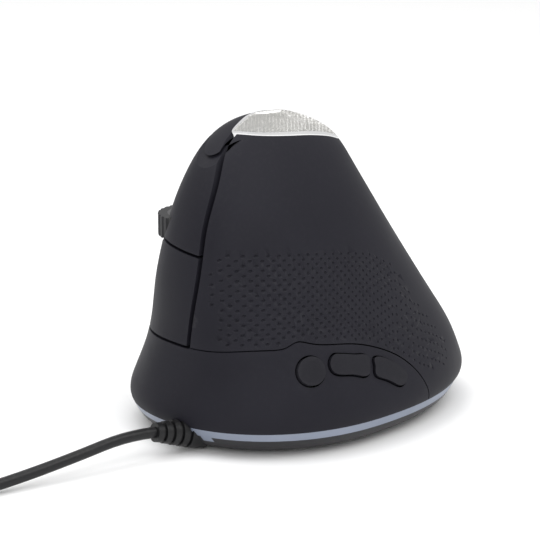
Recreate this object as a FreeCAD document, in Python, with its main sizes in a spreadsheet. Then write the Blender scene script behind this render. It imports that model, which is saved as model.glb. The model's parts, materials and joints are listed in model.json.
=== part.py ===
import FreeCAD, Part
import math
import os
import Sketcher
from FreeCAD import Placement, Rotation, Vector

# A wired upright mouse for the right hand. +Z is up, +Y is the front, where the cord leaves,
# -X is the thumb side and +X the finger side. The origin is on the desk under the middle of
# the case. All sizes are millimetres.

DOC = FreeCAD.newDocument("upright_mouse")
SHEET = DOC.addObject("Spreadsheet::Sheet", "Sizes")

# Driving dimensions: alias, value.
DIMENSIONS = (
    # case
    ("overall_length", 110.0),
    ("overall_width", 84.0),
    ("overall_height", 91.2),
    ("wall", 2.2),
    ("foot_height", 0.8),
    ("strip_bottom", 5.7),
    ("strip_height", 2.3),
    ("strip_depth", 2.6),
    ("floor_thickness", 1.8),
    ("seam_gap", 0.35),
    ("button_gap", 0.8),
    ("front_gap", 1.5),
    ("cap_rise", 0.3),
    ("cap_thickness", 1.5),
    ("bezel_width", 0.9),
    # scroll wheel
    ("wheel_radius", 13.0),
    ("wheel_width", 6.4),
    ("tyre_depth", 2.8),
    ("tread_radius", 0.7),
    ("tread_shift", 0.2),
    ("wheel_clearance", 0.9),
    ("axle_diameter", 3.0),
    ("running_clearance", 0.05),
    ("yoke_thickness", 1.6),
    ("wheel_travel", 0.5),
    # main buttons
    ("hinge_pin_diameter", 1.6),
    ("hinge_lug_radius", 2.3),
    ("hinge_length", 12.0),
    ("hinge_ear", 2.6),
    ("hinge_inset", 5.6),
    ("button_angle", 0.7),
    ("plunger_gap", 0.12),
    # side buttons
    ("round_button_diameter", 8.2),
    ("side_button_gap", 0.45),
    ("side_button_rise", 0.8),
    ("side_button_depth", 3.0),
    ("side_travel", 0.6),
    # boards and electronics
    ("board_thickness", 1.2),
    ("main_board_width", 44.0),
    ("main_board_length", 72.0),
    ("upper_board_width", 20.0),
    ("upper_board_height", 54.0),
    ("side_board_length", 42.0),
    ("side_board_width", 10.0),
    ("board_height", 5.0),
    ("post_diameter", 6.4),
    ("screw_diameter", 2.4),
    ("screw_head_diameter", 4.6),
    ("screw_head_height", 1.2),
    ("screw_spacing_x", 32.0),
    ("screw_spacing_y", 54.0),
    ("switch_length", 12.8),
    ("switch_width", 5.8),
    ("switch_height", 6.5),
    ("tact_size", 6.0),
    ("tact_height", 3.4),
    ("chip_size", 9.0),
    ("chip_height", 1.6),
    ("sensor_size", 12.0),
    ("sensor_height", 4.0),
    ("lens_length", 18.0),
    ("lens_width", 11.0),
    ("window_length", 12.0),
    ("window_width", 7.0),
    ("capacitor_diameter", 5.0),
    ("capacitor_height", 7.0),
    ("connector_length", 12.5),
    ("connector_width", 5.0),
    ("connector_height", 5.5),
    ("led_size", 3.2),
    ("led_height", 1.4),
    # inner frame
    ("frame_plate", 2.2),
    ("frame_leg", 7.0),
    ("frame_deck_height", 14.0),
    ("frame_top", 75.0),
    # glide feet
    ("foot_length", 24.0),
    ("foot_width", 6.5),
    ("foot_recess", 0.4),
    # cord
    ("cord_diameter", 3.2),
    ("relief_length", 13.0),
    ("relief_root_diameter", 9.0),
    ("relief_tip_diameter", 5.8),
    ("coil_middle_radius", 18.0),
    ("coil_columns", 3.0),
    ("coil_layers", 4.0),
    ("plug_shell_width", 12.0),
    ("plug_shell_height", 4.5),
    ("plug_shell_length", 18.8),
    ("plug_shell_wall", 0.35),
    ("plug_grip_width", 15.6),
    ("plug_grip_height", 8.0),
    ("plug_grip_length", 27.0),
    ("plug_tail", 9.0),
)
for row, (alias, size) in enumerate(DIMENSIONS, start=1):
    SHEET.set(f"A{row}", alias)
    SHEET.set(f"B{row}", str(size))
    SHEET.setAlias(f"B{row}", alias)
DOC.recompute()


def mm(alias):
    """The sheet's number for one named size."""
    return float(getattr(SHEET, alias))


def ref(alias):
    """The expression that binds a property to one named size."""
    return f"Sizes.{alias}"


# ---------------------------------------------------------------- the outer form
# The case is a stack of level outlines. Each row gives the height, the thumb edge, the finger
# edge, the front and the rear, the fullness of the front and rear curves, and the middle.
DRAWN_LENGTH = 110.0
DRAWN_WIDTH = 84.0
DRAWN_HEIGHT = 91.2
UPPER_LEVELS = (
    (8.0, -41.2, 41.5, 54.6, -53.4, 2.1, 2.2, 0.0, 8.0),
    (10.5, -42.0, 42.0, 55.0, -55.0, 2.1, 2.2, 0.0, 8.0),
    (15.0, -41.3, 39.6, 53.6, -54.1, 2.2, 2.2, 0.0, 8.0),
    (23.0, -37.9, 34.6, 50.3, -51.0, 2.4, 2.2, 0.0, 8.0),
    (32.0, -33.7, 30.4, 48.7, -45.2, 2.5, 2.2, 0.0, 8.0),
    (44.0, -28.7, 27.7, 48.1, -36.8, 2.5, 2.2, 0.0, 8.0),
    (56.0, -23.6, 25.2, 46.0, -28.7, 2.5, 2.2, 0.0, 8.0),
    (67.0, -18.5, 22.4, 42.4, -22.2, 2.5, 2.2, 1.0, 8.0),
    (76.0, -13.3, 20.0, 37.4, -18.0, 2.4, 2.2, 3.0, 9.0),
    (83.0, -8.0, 17.9, 31.4, -14.2, 2.3, 2.2, 4.5, 10.0),
    (87.3, -3.1, 16.1, 24.6, -8.6, 2.2, 2.2, 6.0, 9.5),
    (89.6, 1.2, 13.6, 18.8, -3.2, 2.1, 2.1, 7.0, 8.0),
    (90.9, 4.6, 10.4, 12.4, 2.2, 2.0, 2.0, 7.5, 7.0),
)
LOWER_LEVELS = (
    (0.8, -34.4, 35.6, 47.4, -44.6, 2.05, 2.2, 0.0, 8.0),
    (2.6, -38.1, 38.8, 50.9, -48.2, 2.05, 2.2, 0.0, 8.0),
    (5.7, -40.6, 41.0, 53.3, -51.4, 2.1, 2.2, 0.0, 8.0),
)
OUTLINE_POINTS = 40
INNER_TOP_DROP = 3.4
SLOPE_ALLOWANCE = 1.12

LENGTH_SCALE = mm("overall_length") / DRAWN_LENGTH
WIDTH_SCALE = mm("overall_width") / DRAWN_WIDTH
HEIGHT_SCALE = mm("overall_height") / DRAWN_HEIGHT
STRIP_BOTTOM = mm("strip_bottom")
STRIP_TOP = STRIP_BOTTOM + mm("strip_height")


def sx(drawn):
    """A drawn place across the case, at this case's width."""
    return drawn * WIDTH_SCALE


def sy(drawn):
    """A drawn place along the case, at this case's length."""
    return drawn * LENGTH_SCALE


def sz(drawn):
    """A drawn height on the upper case, at this case's height."""
    drawn_top = UPPER_LEVELS[-1][0]
    top = drawn_top * HEIGHT_SCALE
    drawn_base = UPPER_LEVELS[0][0]
    return STRIP_TOP + (drawn - drawn_base) * (top - STRIP_TOP) / (drawn_top - drawn_base)


def sz_low(drawn):
    """A drawn height on the hull under the light strip."""
    drawn_base, drawn_top = LOWER_LEVELS[0][0], LOWER_LEVELS[-1][0]
    share = (drawn - drawn_base) / (drawn_top - drawn_base)
    return mm("foot_height") + share * (STRIP_BOTTOM - mm("foot_height"))


def scaled(level, height):
    """One level's numbers at this case's size: height first, then the outline."""
    _, left, right, front, rear, full_front, full_rear, mid_x, mid_y = level
    return (height, sx(left), sx(right), sy(front), sy(rear), full_front, full_rear, sx(mid_x), sy(mid_y))


def power(value, fullness):
    """The signed power that turns a circle into a fuller oval."""
    return math.copysign(abs(value) ** (2.0 / fullness), value)


def outline(level, inset=0.0):
    """The closed level curve of one row, moved inwards by inset."""
    height, left, right, front, rear, full_front, full_rear, mid_x, mid_y = level
    points = []
    for step in range(OUTLINE_POINTS):
        turn = 2.0 * math.pi * (step + 0.5) / OUTLINE_POINTS
        across, along = math.cos(turn), math.sin(turn)
        fullness = full_front if along > 0 else full_rear
        half_x = (right - mid_x if across > 0 else mid_x - left) - inset
        half_y = (front - mid_y if along > 0 else mid_y - rear) - inset
        points.append(Vector(
            mid_x + half_x * power(across, fullness),
            mid_y + half_y * power(along, fullness),
            height,
        ))
    curve = Part.BSplineCurve()
    curve.interpolate(Points=points, PeriodicFlag=True)
    return Part.Wire([curve.toShape()])


def loft(levels, inset=0.0):
    """A solid through level curves."""
    return Part.makeLoft([outline(level, inset) for level in levels], True, False)


UPPER = [scaled(level, sz(level[0])) for level in UPPER_LEVELS]
LOWER = [scaled(level, sz_low(level[0])) for level in LOWER_LEVELS]
OUTER_SKIN = loft(UPPER)
WALL_INSET = mm("wall") * SLOPE_ALLOWANCE


def between(level_a, level_b, height):
    """The level at a height between two rows."""
    share = (height - level_a[0]) / (level_b[0] - level_a[0])
    return tuple(a + share * (b - a) for a, b in zip(level_a, level_b))


def level_at(height):
    """The level of the upper case at any height."""
    for low, high in zip(UPPER, UPPER[1:]):
        if height <= high[0]:
            return between(low, high, height)
    return UPPER[-1]


def side_x(along, height, side):
    """Where the outer surface is, at a place along the case and a height. side is 1 or -1."""
    _, left, right, front, rear, full_front, full_rear, mid_x, mid_y = level_at(height)
    ahead = along >= mid_y
    half_y = front - mid_y if ahead else mid_y - rear
    half_x = right - mid_x if side > 0 else mid_x - left
    fullness = full_front if ahead else full_rear
    share = min(abs(along - mid_y) / half_y, 1.0)
    return mid_x + side * half_x * (1.0 - share ** fullness) ** (1.0 / fullness)


def finger_x(along, height):
    """The outer surface on the finger side."""
    return side_x(along, height, 1)


def thumb_x(along, height):
    """The outer surface on the thumb side."""
    return side_x(along, height, -1)


INNER_TOP = UPPER[-1][0] - INNER_TOP_DROP
OVERCUT = 1.0
LEVEL_SPACING = 2.0
INNER_LEVELS = [(STRIP_TOP - OVERCUT,) + UPPER[0][1:]]
INNER_LEVELS += [level for level in UPPER[1:] if level[0] < INNER_TOP - LEVEL_SPACING]
INNER_LEVELS.append((INNER_TOP,) + level_at(INNER_TOP + OVERCUT)[1:])
INNER_SKIN = loft(INNER_LEVELS, WALL_INSET)
CASE_SHELL = OUTER_SKIN.cut(INNER_SKIN)

# ---------------------------------------------------------------- seams
FAR = 90.0
# Drawing planes seen from the side and from the front.
ALONG_Y = Rotation(Vector(0, 1, 0), Vector(0, 0, 1), Vector(1, 0, 0), "XYZ")
ACROSS_X = Rotation(Vector(1, 0, 0), Vector(0, 0, 1), Vector(0, -1, 0), "XYZ")


def ribbon(points, gap):
    """A flat band of one width that follows a smooth curve through points on a plane."""
    curve = Part.BSplineCurve()
    curve.interpolate(Points=[Vector(a, b, 0) for a, b in points])
    sides = []
    for offset in (gap / 2.0, -gap / 2.0):
        moved = []
        for a, b in points:
            tangent = curve.tangent(curve.parameter(Vector(a, b, 0)))[0]
            moved.append(Vector(a - tangent.y * offset, b + tangent.x * offset, 0))
        sides.append(moved)
    edges = []
    for moved in sides:
        side = Part.BSplineCurve()
        side.interpolate(Points=moved)
        edges.append(side.toShape())
    edges.append(Part.LineSegment(sides[0][0], sides[1][0]).toShape())
    edges.append(Part.LineSegment(sides[0][-1], sides[1][-1]).toShape())
    return Part.Face(Part.Wire(Part.__sortEdges__(edges)))


def side_blade(points, gap, start, end):
    """A seam seen from the side: (along, height) points, cut from x=start to x=end."""
    face = ribbon(points, gap)
    face.Placement = Placement(Vector(start, 0, 0), ALONG_Y)
    return face.extrude(Vector(end - start, 0, 0))


def front_blade(points, gap, start, end):
    """A seam seen from the front: (across, height) points, cut from y=start to y=end."""
    face = ribbon(points, gap)
    face.Placement = Placement(Vector(0, start, 0), ACROSS_X)
    return face.extrude(Vector(0, end - start, 0))


NOSE_X = sx(-5.3)


def drawn_side(points):
    """Side-view points at this case's size."""
    return [(sy(a), sz(b)) for a, b in points]


def drawn_front(points):
    """Front-view points at this case's size."""
    return [(sx(a), sz(b)) for a, b in points]


# The skirt's top edge on the thumb side, with its small rise over the round button.
THUMB_SEAM = drawn_side((
    (64, 29.3), (48, 29.7), (43, 30.9), (37, 31.3), (33, 31.7), (29.5, 33.0), (26, 32.2),
    (22, 31.3), (12, 29.9), (3.6, 27.4), (-5.1, 22.9), (-11, 17.2), (-14.3, 11), (-15.4, 5),
))
FINGER_SEAM = drawn_side((
    (64, 29.1), (48, 29.5), (30, 29.6), (10, 28.8), (-10, 26.4), (-24, 21.2), (-32, 14), (-35.5, 5),
))
FRONT_SEAM = drawn_front((
    (-5.3, 29.6), (-6.1, 37.7), (-7.3, 46.5), (-7.2, 55.4), (-6.3, 62.6), (-5.1, 70.4),
    (-3.1, 76.7), (-0.2, 82.2), (2.2, 86.0), (5.0, 93.0),
))
CROWN_SEAM = drawn_side((
    (42, 73.6), (31, 82.5), (26.5, 84.9), (15, 86.0), (0, 84.6), (-14, 79.5), (-24, 74),
))
REAR_SEAM = drawn_front(((-2.5, 93), (-1.5, 83), (1.5, 74), (4, 60), (4.6, 34), (4.6, 5)))
BUTTON_REAR_SEAM = drawn_side(((-3.0, 27.1), (-4.4, 42), (-5.6, 57), (-6.5, 70), (-6.8, 83.0)))
BUTTON_REAR = sy(-5.0)
SPLIT_HEIGHT = sz(55.9)
SPLIT_SLOPE = 5.7

blades = [
    side_blade(THUMB_SEAM, mm("seam_gap"), -FAR, NOSE_X),
    side_blade(FINGER_SEAM, mm("button_gap"), NOSE_X - mm("seam_gap"), FAR),
    front_blade(FRONT_SEAM, mm("front_gap"), sy(19.0), FAR),
    side_blade(CROWN_SEAM, mm("button_gap"), sx(-0.8), FAR),
    front_blade(REAR_SEAM, mm("seam_gap"), -FAR, sy(-8.0)),
    side_blade(BUTTON_REAR_SEAM, mm("button_gap"), 0.0, FAR),
]
SPLIT_CORNER = Vector(sx(-7.2), BUTTON_REAR - mm("button_gap"), SPLIT_HEIGHT)
split = Part.makeBox(FAR, FAR, mm("button_gap"), SPLIT_CORNER)
split.rotate(Vector(0, 0, SPLIT_HEIGHT), Vector(0, 1, 0), -SPLIT_SLOPE)
blades.append(split)


def closed_curve(points, grow=0.0):
    """A closed smooth wire through points on a plane, each moved outwards by grow."""
    curve = Part.BSplineCurve()
    curve.interpolate(Points=[Vector(a, b, 0) for a, b in points], PeriodicFlag=True)
    if grow:
        turning = sum(a * d - b * c for (a, b), (c, d) in zip(points, points[1:] + points[:1]))
        outwards = grow if turning > 0 else -grow
        moved = []
        for a, b in points:
            tangent = curve.tangent(curve.parameter(Vector(a, b, 0)))[0]
            moved.append(Vector(a + tangent.y * outwards, b - tangent.x * outwards, 0))
        curve = Part.BSplineCurve()
        curve.interpolate(Points=moved, PeriodicFlag=True)
    return Part.Wire([curve.toShape()])


# The leaf-shaped opening for the cap, seen from above.
LEAF = ((2.6, 24.3), (-2.4, 19.4), (-4.9, 11.0), (-5.3, 1.5), (-4.4, -7.0), (-1.8, -12.6), (2.8, -8.6),
        (6.9, -1.0), (8.6, 7.0), (7.9, 14.4), (5.6, 20.6))


def leaf(inset):
    """The cap's outline as an upright prism, moved inwards by inset."""
    wire = closed_curve([(sx(a), sy(b)) for a, b in LEAF], -inset)
    face = Part.Face(wire)
    face.translate(Vector(0, 0, sz(74.0)))
    return face.extrude(Vector(0, 0, FAR))


SHELL_PIECES = CASE_SHELL.cut(blades + [leaf(0.0)]).Solids
KEPT = []


def nearest_piece(across, along, height):
    """The piece of the split shell that lies at a place."""
    spot = Part.Vertex(Vector(across, along, height))
    return min(SHELL_PIECES, key=lambda solid: solid.distToShape(spot)[0]).copy()


def keep(piece):
    """Counts an object as a sub-part and returns it."""
    KEPT.append(piece)
    return piece


def feature(label, shape, place=None):
    """A freeform sub-part."""
    piece = DOC.addObject("Part::Feature", label)
    piece.Shape = shape
    if place:
        piece.Placement = place
    return keep(piece)


def box(low, high):
    """A box from its lowest to its highest corner."""
    span = [b - a for a, b in zip(low, high)]
    return Part.makeBox(*span, Vector(*low))


def rod(start, end, radius):
    """A round bar between two points."""
    axis = Vector(*end) - Vector(*start)
    return Part.makeCylinder(radius, axis.Length, Vector(*start), axis)


# ---------------------------------------------------------------- hinges of the main buttons
PIN_RADIUS = mm("hinge_pin_diameter") / 2.0
RUNNING = mm("running_clearance")
LUG_RADIUS = mm("hinge_lug_radius")
HINGE_LENGTH = mm("hinge_length")
HINGE_SIDE_CLEARANCE = 0.3
ARM_SHIFT = 1.8
ARM_WIDTH_LOST = 3.0
BULKHEAD_BACK = sy(-11.5)
BULKHEAD_FRONT = BULKHEAD_BACK + mm("frame_plate")


class Hinge:
    """An upright pin along a button's rear edge, leaning with the case's wall."""

    def __init__(self, along, height):
        half = HINGE_LENGTH / 2.0
        low = finger_x(along, height - half)
        high = finger_x(along, height + half)
        self.lean = math.degrees(math.atan2(low - high, HINGE_LENGTH))
        middle = finger_x(along, height) - mm("hinge_inset")
        self.centre = Vector(middle, along, height)
        self.place = Placement(self.centre, Rotation(Vector(0, 1, 0), -self.lean))
        self.axis = self.place.Rotation.multVec(Vector(0, 0, 1))

    def seat(self, shape):
        """A shape drawn about an upright pin at the origin, moved to this hinge."""
        shape = shape.copy()
        shape.Placement = self.place.multiply(shape.Placement)
        return shape

    def ears(self):
        """The frame's two ears, with arms back to the bulkhead."""
        ear, half = mm("hinge_ear"), HINGE_LENGTH / 2.0
        reach = self.centre.y - BULKHEAD_FRONT + mm("frame_plate") / 2.0
        parts = []
        for base in (-half, half - ear):
            parts.append(Part.makeCylinder(LUG_RADIUS, ear, Vector(0, 0, base)))
            low = (-LUG_RADIUS - ARM_SHIFT, -reach, base)
            parts.append(box(low, (LUG_RADIUS - ARM_WIDTH_LOST, 0, base + ear)))
        ears = parts[0].multiFuse(parts[1:])
        return self.seat(ears.cut(self.pin_shape(0.0)))

    def pin_shape(self, clearance):
        """The pin, or with a clearance the bore round it."""
        return Part.makeCylinder(PIN_RADIUS + clearance, HINGE_LENGTH, Vector(0, 0, -HINGE_LENGTH / 2.0))

    def lug(self):
        """The button's lug, joined to its wall."""
        half = HINGE_LENGTH / 2.0 - mm("hinge_ear") - HINGE_SIDE_CLEARANCE
        wall = mm("hinge_inset") - mm("wall") / 2.0
        body = Part.makeCylinder(LUG_RADIUS, 2.0 * half, Vector(0, 0, -half))
        bridge = box((0, -LUG_RADIUS, -half), (wall, LUG_RADIUS, half))
        return self.seat(body.fuse(bridge).cut(self.pin_shape(RUNNING)))


LEFT_HINGE = Hinge(sy(-2.6), sz(65.4))
RIGHT_HINGE = Hinge(sy(-0.6), sz(42.0))

# ---------------------------------------------------------------- places of the inner works
BOARD_TOP = mm("board_height") + mm("board_thickness")
WEB_FACE = -5.0
WEB_BACK = WEB_FACE - mm("frame_plate")
UPPER_BOARD_BACK = -1.0
UPPER_BOARD_FACE = UPPER_BOARD_BACK + mm("board_thickness")
SWITCH_TOP = UPPER_BOARD_FACE + mm("switch_height")
PLUNGER_LENGTH = 0.7
PLUNGER_RADIUS = 0.8
SWITCH_Y = sy(5.0)
LEFT_SWITCH_Z = sz(66.5)
RIGHT_SWITCH_Z = sz(43.0)
RIB_HALF = 1.6
WHEEL_X = sx(12.5)
WHEEL_Y = sy(28.5)
WHEEL_Z = sz(59.8)
WHEEL_RADIUS = mm("wheel_radius")
WHEEL_HALF = mm("wheel_width") / 2.0
YOKE_GAP = 0.8
YOKE_LOW = WHEEL_Z - WHEEL_HALF - YOKE_GAP - mm("yoke_thickness")
YOKE_HIGH = WHEEL_Z + WHEEL_HALF + YOKE_GAP + mm("yoke_thickness")
AXLE_RADIUS = mm("axle_diameter") / 2.0


def rib(hinge, height):
    """The post inside a button that reaches its switch."""
    travel = math.radians(mm("button_angle")) * (SWITCH_Y + RIB_HALF - hinge.centre.y)
    tip = SWITCH_TOP + PLUNGER_LENGTH + travel + mm("plunger_gap")
    wall = finger_x(SWITCH_Y, height + RIB_HALF) - mm("wall") / 2.0
    low = (tip, SWITCH_Y - RIB_HALF, height - RIB_HALF)
    return box(low, (wall, SWITCH_Y + RIB_HALF, height + RIB_HALF))


def wheel_room():
    """The space that the turning wheel and its yoke need through the buttons."""
    clear = mm("wheel_clearance")
    radius = WHEEL_RADIUS + clear
    tall = 2.0 * (WHEEL_HALF + clear)
    return Part.makeCylinder(radius, tall, Vector(WHEEL_X, WHEEL_Y, WHEEL_Z - tall / 2.0))


def click_button(label, probe_height, hinge, switch_height):
    """A main button: its part of the shell, with its lug and rib."""
    probe = finger_x(SWITCH_Y, probe_height) - mm("wall") / 2.0
    shell = nearest_piece(probe, SWITCH_Y, probe_height)
    shape = shell.cut(wheel_room()).fuse(hinge.lug()).fuse(rib(hinge, switch_height))
    return feature(label, shape)


click_button("left_button", sz(70.0), LEFT_HINGE, LEFT_SWITCH_Z)
click_button("right_button", sz(42.0), RIGHT_HINGE, RIGHT_SWITCH_Z)
feature("left_hinge_pin", LEFT_HINGE.seat(LEFT_HINGE.pin_shape(0.0)))
feature("right_hinge_pin", RIGHT_HINGE.seat(RIGHT_HINGE.pin_shape(0.0)))

# ---------------------------------------------------------------- fixed shells
PANEL_HEIGHT = sz(50.0)
feature("thumb_panel", nearest_piece(thumb_x(0.0, PANEL_HEIGHT) + mm("wall") / 2.0, 0.0, PANEL_HEIGHT))
PALM_ALONG = sy(-15.0)
feature("palm_shell", nearest_piece(finger_x(PALM_ALONG, PANEL_HEIGHT), PALM_ALONG, PANEL_HEIGHT))

CROWN_ALONG = sy(8.0)
CROWN_HEIGHT = sz(86.5)
POST_ALONG = (sy(14.0), sy(1.0))
CROWN_POST_X = sx(11.5)
CROWN_POST_RADIUS = 1.8
crown = nearest_piece(finger_x(CROWN_ALONG, CROWN_HEIGHT), CROWN_ALONG, CROWN_HEIGHT)
CROWN_POST_TOP = sz(87.4)
FRAME_TOP = sz(mm("frame_top"))
crown_posts = [
    rod((CROWN_POST_X, along, FRAME_TOP), (CROWN_POST_X, along, CROWN_POST_TOP), CROWN_POST_RADIUS)
    for along in POST_ALONG
]
feature("top_bridge", crown.multiFuse(crown_posts))

# ---------------------------------------------------------------- silver cap
def moved_skin(shift):
    """The upper case's outer form, moved."""
    copy = OUTER_SKIN.copy()
    copy.translate(shift)
    return copy


def cap_layer(outer_edge, rise, depth):
    """The part of a prism between two heights above and below the case's outer form."""
    raised_form = moved_skin(Vector(0, 0, rise))
    return raised_form.common(outer_edge).cut(moved_skin(Vector(0, 0, rise - depth)))


MESH_DROP = 0.3
CAP_RISE = mm("cap_rise")
CAP_THICKNESS = mm("cap_thickness")
bezel_inner = leaf(mm("bezel_width"))
feature("cap_bezel", cap_layer(leaf(0.0).cut(bezel_inner), CAP_RISE, CAP_THICKNESS))
feature("cap_mesh", cap_layer(bezel_inner, CAP_RISE - MESH_DROP, CAP_THICKNESS - MESH_DROP))

# ---------------------------------------------------------------- side buttons
SIDE_NORMAL = Vector(-0.9, 0.1, 0.43).normalize()
SIDE_SPOT_Y = sy(12.0)
SIDE_SPOT_Z = sz(24.4)
SIDE_UP = Vector(0, 0, 1).sub(SIDE_NORMAL * SIDE_NORMAL.z).normalize()
SIDE_BACK = SIDE_UP.cross(SIDE_NORMAL)
SIDE_ORIGIN = Vector(thumb_x(SIDE_SPOT_Y, SIDE_SPOT_Z), SIDE_SPOT_Y, SIDE_SPOT_Z)
SIDE_PLACE = Placement(SIDE_ORIGIN, Rotation(SIDE_BACK, SIDE_UP, SIDE_NORMAL, "XYZ"))
SIDE_REACH = 12.0
ROUND_SPOT = (-16.2, 1.0)
FORWARD_OUTLINE = [
    (-7.3, 4.2), (-3.6, 3.5), (0.0, 2.75), (3.2, 2.0), (3.9, 1.0), (3.3, -1.5), (2.6, -3.2), (1.6, -3.7),
    (-2.0, -2.9), (-5.2, -2.2), (-7.8, -1.7), (-9.7, -0.5), (-10.2, 1.4), (-9.2, 3.4),
]
BACK_OUTLINE = [
    (5.5, -0.8), (6.3, 0.9), (8.2, 0.8), (11.2, -0.5), (14.0, -2.3), (16.2, -4.3), (17.1, -6.0),
    (16.2, -7.6), (13.9, -8.6), (12.0, -7.9), (8.8, -6.1), (6.0, -4.9), (5.0, -4.1), (5.1, -2.4),
]


def side_prism(wire, low, high):
    """A prism of an outline along the side buttons' travel."""
    face = Part.Face(wire)
    face.translate(Vector(0, 0, low))
    prism = face.extrude(Vector(0, 0, high - low))
    prism.Placement = SIDE_PLACE
    return prism


def round_wire(grow):
    """The round button's outline, grown outwards."""
    radius = mm("round_button_diameter") / 2.0 + grow
    circle = Part.Circle(Vector(*ROUND_SPOT, 0), Vector(0, 0, 1), radius)
    return Part.Wire([circle.toShape()])


SIDE_WIRES = {
    "dpi_button": round_wire,
    "forward_button": lambda grow: closed_curve(FORWARD_OUTLINE, grow),
    "back_button": lambda grow: closed_curve(BACK_OUTLINE, grow),
}
raised = moved_skin(SIDE_NORMAL * mm("side_button_rise"))
sunk = moved_skin(SIDE_NORMAL * (mm("side_button_rise") - mm("side_button_depth")))
SIDE_BOARD_DEPTH = 9.0
STEM_RADIUS = 1.5
STEM_PLAY = 0.1
STEM_GAP = mm("side_travel") + STEM_PLAY
STEM_SPOTS = {"dpi_button": ROUND_SPOT, "forward_button": (-3.0, 0.6), "back_button": (10.6, -3.4)}
STEM_TOP = 1.6

SKIRT_ALONG = sy(30.0)
SKIRT_HEIGHT = sz(20.0)
skirt = nearest_piece(thumb_x(SKIRT_ALONG, SKIRT_HEIGHT) + mm("wall") / 2.0, SKIRT_ALONG, SKIRT_HEIGHT)
for name, wire in SIDE_WIRES.items():
    skirt = skirt.cut(side_prism(wire(mm("side_button_gap")), -SIDE_REACH, SIDE_REACH))
    cap = raised.common(side_prism(wire(0.0), -SIDE_REACH, SIDE_REACH)).cut(sunk)
    across, up = STEM_SPOTS[name]
    tip = -SIDE_BOARD_DEPTH + mm("tact_height") + STEM_GAP
    stem = Part.makeCylinder(STEM_RADIUS, -STEM_TOP - tip, Vector(across, up, tip))
    stem.Placement = SIDE_PLACE
    feature(name, cap.fuse(stem))
BOARD_POSTS = ((-21.2, -3.6), (-9.8, -5.4), (2.6, -5.8))
BOARD_POST_RADIUS = 1.1
BOARD_POST_REACH = 12.0
POST_SINK = 1.0
inside_wall = moved_skin(SIDE_NORMAL * -POST_SINK)
for across, up in BOARD_POSTS:
    post = Part.makeCylinder(BOARD_POST_RADIUS, BOARD_POST_REACH, Vector(across, up, -SIDE_BOARD_DEPTH))
    post.Placement = SIDE_PLACE
    skirt = skirt.fuse(post.common(inside_wall))
feature("side_skirt", skirt)

# ---------------------------------------------------------------- parametric helpers
def sketch_on(body, name, plane="XY_Plane"):
    """A sketch on one of a body's own origin planes."""
    sketch = body.newObject("Sketcher::SketchObject", name)
    origin = [part for part in body.Origin.OriginFeatures if part.Role == plane][0]
    sketch.AttachmentSupport = [(origin, "")]
    sketch.MapMode = "FlatFace"
    return sketch


def draw_rectangle(sketch, wide, tall):
    """A rectangle centred on the sketch's origin, its sides bound to two expressions."""
    corners = [Vector(-1, -1, 0), Vector(1, -1, 0), Vector(1, 1, 0), Vector(-1, 1, 0)]
    first = sketch.GeometryCount
    for a, b in zip(corners, corners[1:] + corners[:1]):
        sketch.addGeometry(Part.LineSegment(a, b))
    for side in range(4):
        sketch.addConstraint(Sketcher.Constraint("Coincident", first + side, 2, first + (side + 1) % 4, 1))
    for side, kind in enumerate(("Horizontal", "Vertical", "Horizontal", "Vertical")):
        sketch.addConstraint(Sketcher.Constraint(kind, first + side))
    sketch.addConstraint(Sketcher.Constraint("Symmetric", first, 1, first + 2, 1, -1, 1))
    for side, kind, expression in ((0, "DistanceX", wide), (1, "DistanceY", tall)):
        at = sketch.addConstraint(Sketcher.Constraint(kind, first + side, 1, first + side, 2, 2.0))
        sketch.setExpression(f"Constraints[{at}]", expression)


def draw_circle(sketch, across, up, radius):
    """A circle bound to three expressions: its place from the sketch's origin and its radius."""
    at = sketch.addGeometry(Part.Circle(Vector(1, 1, 0), Vector(0, 0, 1), 1.0))
    for kind, expression in (("DistanceX", across), ("DistanceY", up)):
        rule = sketch.addConstraint(Sketcher.Constraint(kind, -1, 1, at, 3, 1.0))
        sketch.setExpression(f"Constraints[{rule}]", expression)
    rule = sketch.addConstraint(Sketcher.Constraint("Radius", at, 1.0))
    sketch.setExpression(f"Constraints[{rule}]", radius)


def pad(body, sketch, length):
    """A pad of a sketch, its length bound to an expression."""
    made = body.newObject("PartDesign::Pad", sketch.Name + "_pad")
    made.Profile = sketch
    made.setExpression("Length", length)
    return made


def new_body(label, place):
    """A sub-part's body."""
    body = DOC.addObject("PartDesign::Body", label)
    body.Placement = place
    return keep(body)


def block(label, wide, long, tall, place):
    """A body with a rectangular section."""
    body = new_body(label, place)
    sketch = sketch_on(body, label + "_plan")
    draw_rectangle(sketch, wide, long)
    pad(body, sketch, tall)
    return body


def disc(label, radius, tall, place):
    """A body with a round section."""
    body = new_body(label, place)
    sketch = sketch_on(body, label + "_plan")
    draw_circle(sketch, "0 mm", "0 mm", radius)
    pad(body, sketch, tall)
    return body


def at(across, along, height, turn=None):
    """A placement at a point."""
    return Placement(Vector(across, along, height), turn or Rotation())


# ---------------------------------------------------------------- hull, strip and feet
HULL_SOLID = loft(LOWER)
FLOOR_TOP = mm("foot_height") + mm("floor_thickness")
SCREW_SPOTS = [
    (x * mm("screw_spacing_x") / 2.0, y * mm("screw_spacing_y") / 2.0) for x in (-1, 1) for y in (-1, 1)
]
SCREW_RADIUS = mm("screw_diameter") / 2.0
HEAD_RADIUS = mm("screw_head_diameter") / 2.0
WINDOW_Y = sy(7.5)
WINDOW_CLEARANCE = 0.15


def hull_level(height):
    """The hull's level at a height."""
    for low, high in zip(LOWER, LOWER[1:]):
        if height <= high[0]:
            return between(low, high, height)
    return LOWER[-1]


# The strip stands between the hull's top outline and the upper case's bottom outline.
STRIP_SOLID = loft([LOWER[-1], UPPER[0]])
strip_hole = loft(
    [(STRIP_BOTTOM - OVERCUT,) + LOWER[-1][1:], (STRIP_TOP + OVERCUT,) + UPPER[0][1:]], mm("strip_depth"))

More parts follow.
